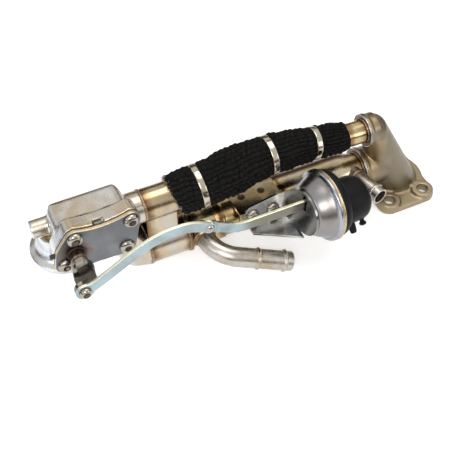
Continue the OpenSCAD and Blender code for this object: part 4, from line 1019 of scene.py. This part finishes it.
def sleeveRadius(x, angle):
    r = between(sleeve["profile"], (x - sleeve["from"]) / (sleeve["to"] - sleeve["from"]))
    fold = ripple(onSleeve(x, angle, *sleeve["foldNoise"]), octaves=4)
    crease = abs(noise.noise(onSleeve(x, angle, *sleeve["creaseNoise"])))
    r += sleeve["crinkle"] * (fold - sleeve["creaseShare"] * max(0.0, 1 - crease / sleeve["creaseWidth"]))
    wander = sleeve["wander"] * noise.noise(onSleeve(x, angle, *sleeve["laneNoise"]))
    lane = angle * sleeve["wales"] / fullTurn + wander
    across = abs((lane % 1.0) - 0.5) * 2  # 0 in the middle of a wale, 1 in its groove
    loop = math.cos(fullTurn * (x / sleeve["pitch"] + 0.45 * across + 0.5 * (math.floor(lane) % 2)))
    r += sleeve["waleHeight"] * (0.5 - across ** 2) + sleeve["stitchHeight"] * loop * (1 - 0.6 * across)
    for _, centre, inner in clamps["bands"]:
        past = abs(x - centre) - sleeve["nipFrom"]
        if past < 0:
            r = min(r, inner - 0.05)
        else:
            drawn = max(0.0, 1 - past / sleeve["nipReach"]) ** 2 * sleeve["nipShare"]
            r -= (r - inner + sleeve["nip"]) * drawn
    return max(r, sleeve["tail"])

def sleevePoint(x, r, angle):
    up, inside = r * math.sin(angle), x - sleeve["from"]
    shift = sleeve["lean"] * up * max(0.0, 1 - inside / sleeve["leanReach"]) ** 2
    torn = sleeve["ragged"] * noise.noise(Vector(onRing(angle, 6, 2))) * max(0.0, 1 - inside / sleeve["raggedReach"])
    return Vector((x - shift + torn, r * math.cos(angle), bowAt(x) + up)) * mm

def makeSleeve():
    start, end, inner = sleeve["from"], sleeve["to"], sleeve["inner"]
    ring = angles(sleeve["columns"])
    verts = []
    deepest = sleeve["hem"][0]
    for depth in sleeve["hem"]:  # hem turned in at the open end
        r = inner + sleeve["hemSpread"] * (deepest - depth) / deepest
        verts += [sleevePoint(start + depth, r, a) for a in ring]
    for i, (depth, share) in enumerate(sleeve["lip"]):
        r = (inner + sleeve["lipGap"]) * (1 - share) + share * sleeve["lipOuter"]
        verts += [sleevePoint(start + depth, r + sleeve["lipWave"] * ripple((a * 7, i, 0)), a) for a in ring]
    for i in range(sleeve["rows"]):
        x = start + sleeve["firstRow"] + (end - start - sleeve["firstRow"]) * i / (sleeve["rows"] - 1)
        verts += [sleevePoint(x, sleeveRadius(x, a), a) for a in ring]
    for past in sleeve["tailEnds"]:
        verts += [sleevePoint(end + past, sleeve["tail"], a) for a in ring]
    faces = gridFaces(len(verts) // len(ring), len(ring))
    addPiece("sleeveKnit", verts, faces, ["knitYarn"], replaced=("insulation_sleeve",))

fray = {
    "count": 420, "long": (1.2, 4.2), "thick": 0.11, "taper": 0.6, "goldShare": 0.35, "seed": 11, "steps": 5, "sides": 3,
    "r": (13.6, 15.6), "depth": (-0.1, 1.5), "forward": (0.1, 1.0), "outward": (-0.5, 0.7), "stray": 0.35, "curl": 0.3,
    "curlStep": 0.4,
}

def makeFray():  # cut yarn ends at the open end, some of them glass fibre
    rng = np.random.default_rng(fray["seed"])
    last = fray["steps"] - 1
    verts, faces, faceMats = [], [], []
    for _ in range(fray["count"]):
        angle = rng.uniform(0, fullTurn)
        r = rng.uniform(*fray["r"])
        point = sleevePoint(sleeve["from"] + rng.uniform(*fray["depth"]), r, angle)
        outward = Vector((0, math.cos(angle), math.sin(angle)))
        way = Vector((-1, 0, 0)) * rng.uniform(*fray["forward"]) + outward * rng.uniform(*fray["outward"])
        way = (way + Vector(rng.normal(0, fray["stray"], 3))).normalized()
        length = rng.uniform(*fray["long"]) * mm
        curl = Vector(rng.normal(0, fray["curl"], 3))
        new = gridFaces(fray["steps"], fray["sides"], len(verts))
        for k in range(fray["steps"]):
            _, side, other = frameFor(way)
            thick = fray["thick"] * mm * (1 - fray["taper"] * k / last)
            verts += [point + (side * math.cos(b) + other * math.sin(b)) * thick for b in angles(fray["sides"])]
            point = point + way * length / last
            way = (way + curl * fray["curlStep"]).normalized()
        faces += new
        faceMats += [1 if rng.random() < fray["goldShare"] else 0] * len(new)
    addPiece("sleeveFray", verts, faces, ["knitYarn", "glassYarn"], faceMats=faceMats)

def makeClamps():
    half = clamps["width"] / 2
    for node, centre, inner in clamps["bands"]:
        axis, side, other = frameFor((1, 0, bowAt(centre + 0.5) - bowAt(centre - 0.5)))
        hub = Vector((centre, 0, bowAt(centre)))
        outer = inner + clamps["thick"]
        rise = [(-half, inner), (-half + 0.05, outer - 0.2), (-half + 0.3, outer), (-half + 0.9, outer + 0.06)]
        loop = rise + [(0, outer + 0.03)] + [(-x, r) for x, r in reversed(rise)] + [(0, inner)]
        verts = []
        for a in angles(clamps["segments"]):
            radial = side * math.cos(a) + other * math.sin(a)
            wave = clamps["wave"] * ripple(onRing(a, 1.5, centre))
            drift = clamps["drift"] * math.sin(a * 2 + centre)
            verts += [(hub + axis * (x + drift) + radial * (r + wave)) * mm for x, r in loop]
        faces = gridFaces(clamps["segments"], len(loop), wrapRows=True)
        first = len(verts)
        for lift, shrink in clamps["lockLayers"]:
            out = inner + clamps["lockSink"] + lift
            verts += [(hub + axis * (x * shrink) + Vector((0, out, z * shrink))) * mm for x, z in clamps["lock"]]
        faces += gridFaces(3, 4, first) + [tuple(range(first + 8, first + 12))]
        addPiece(node + "Band", verts, faces, ["bandSteel"], replaced=(node,))

screwHeads = {  # heads in X and Z, the face they stand on in Y, and how far the shank goes behind it
    "coverScrewHeads": {
        "node": "cover_screws", "body": "cooler", "heads": [(-287.0, 90.6), (-244.5, 90.8), (-250.0, 64.7), (-297.0, 66.7)],
        "face": -24.0, "r": 6.05, "shank": 2.5, "behind": 8.0, "socket": 2.1},
    "bracketScrewHeads": {
        "node": "bracket_screws", "body": "cooler", "heads": [(-145.7, 46.0), (-128.2, 46.0)],
        "face": -22.0, "r": 5.75, "shank": 2.5, "behind": 3.5, "socket": 2.1},
    "linkPinHead": {
        "node": "link_pin", "body": "crank", "heads": [(-291.71, 64.17)],
        "face": -51.3, "r": 4.75, "shank": 2.95, "behind": 5.6, "socket": 1.9},
}
screwForm = {"segments": 72, "socketDeep": 1.9, "domeSteps": 7, "domeAngle": math.radians(58), "foot": 1.0, "turn": 1.3}

def screwProfile(spec, tall):  # height, radius, share of hexagon
    r, flat, back, foot = spec["r"], spec["socket"], -spec["behind"], screwForm["foot"]
    profile = [(back, 0.05, 0), (back, spec["shank"], 0), (0.0, spec["shank"], 0), (0.02, r - 0.25, 0), (0.2, r, 0),
        (0.75, r, 0), (foot, r - 0.18, 0)]
    whole = screwForm["domeAngle"]
    for k in range(1, screwForm["domeSteps"] + 1):
        a = k / screwForm["domeSteps"] * whole
        inward = (r - 0.18 - flat - 1.1) * (1 - math.cos(a)) / (1 - math.cos(whole))
        profile.append((foot + (tall - foot) * math.sin(a) / math.sin(whole), r - 0.18 - inward, 0))
    floor = tall - screwForm["socketDeep"]
    return profile + [(tall, flat + 0.75, 0.5), (tall - 0.3, flat + 0.12, 1), (floor, flat, 1), (floor - 0.3, 0.05, 1)]

def makeScrews(name, spec):
    profile = screwProfile(spec, spec["face"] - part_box(spec["node"])[0].y / mm)
    segments = screwForm["segments"]
    inSocket = (len(profile) - 4) * segments
    verts, faces, faceMats = [], [], []
    for n, (x, z) in enumerate(spec["heads"]):
        new = gridFaces(len(profile), segments, len(verts))
        faces += new
        # socket faces take the painted socket shade
        faceMats += [0 if k < inSocket else 1 for k in range(len(new))]
        for height, radius, hexagon in profile:
            for a in angles(segments):
                edge = 1 / math.cos((a + math.pi / 6) % (math.pi / 3) - math.pi / 6)
                rad = radius * (1 + (edge - 1) * hexagon)
                turned = a + n * screwForm["turn"]
                point = Vector((x + rad * math.cos(turned), spec["face"] - height, z + rad * math.sin(turned)))
                verts.append(point * mm)
    addPiece(name, verts, faces, ["brightScrew", "paintedSocketShade"], spec["body"], (spec["node"],), faceMats)

welds = {
    "rings": [  # centre, axis, radius, bead radius
        ((-228.8, 0, 30.5), (1, 0, 0), 17.0, 0.9), ((-228.8, 0, 74.5), (1, 0, 0), 12.75, 0.8),
        ((-195.9, 0, 30.5), (1, 0, 0), 17.3, 0.9), ((-36.6, 0, 30.5), (1, 0, 0), 14.6, 0.8),
        ((-36.6, 0, 74.5), (1, 0, 0), 10.4, 0.8), ((-185.0, -17.4, 34.5), (0, 1, 0), 8.9, 0.9),
        ((-44.9, -13.2, 36.5), (0.2198, -0.9755, 0), 7.2, 0.8), ((-185.0, -19.6, 34.5), (0, 1, 0), 8.2, 0.5),
    ],
    "around": 220, "section": 10, "scale": 1.7, "long": 1.25, "proud": 0.62, "ridge": 0.16, "lump": 0.14, "drift": 0.18,
}

def makeWelds():
    verts, faces = [], []
    for n, (centre, axis, radius, bead) in enumerate(welds["rings"]):
        count = round(fullTurn * radius / welds["scale"])  # whole weld scales round the ring
        def shape(a):
            swell = 1 + welds["ridge"] * abs(math.sin(count * a / 2 + n)) + welds["lump"] * ripple(onRing(a, 3, n))
            drift = welds["drift"] * ripple(onRing(a, 2, n, 5))
            return bead * welds["long"] * swell, welds["proud"] * bead * swell, drift
        addBeadRing(verts, faces, centre, axis, radius, welds, shape)
    addPiece("weldBeads", verts, faces, ["weldBead"])

makeOutletPipe()
makeBypassTube()
makeShell()
makeCan()
makeDrive()
makeRearCover()
makeLips()
makePlugs()
makeSleeve()
makeFray()
makeClamps()
for name, spec in screwHeads.items():
    makeScrews(name, spec)
makeWelds()
print("stage: built pieces")
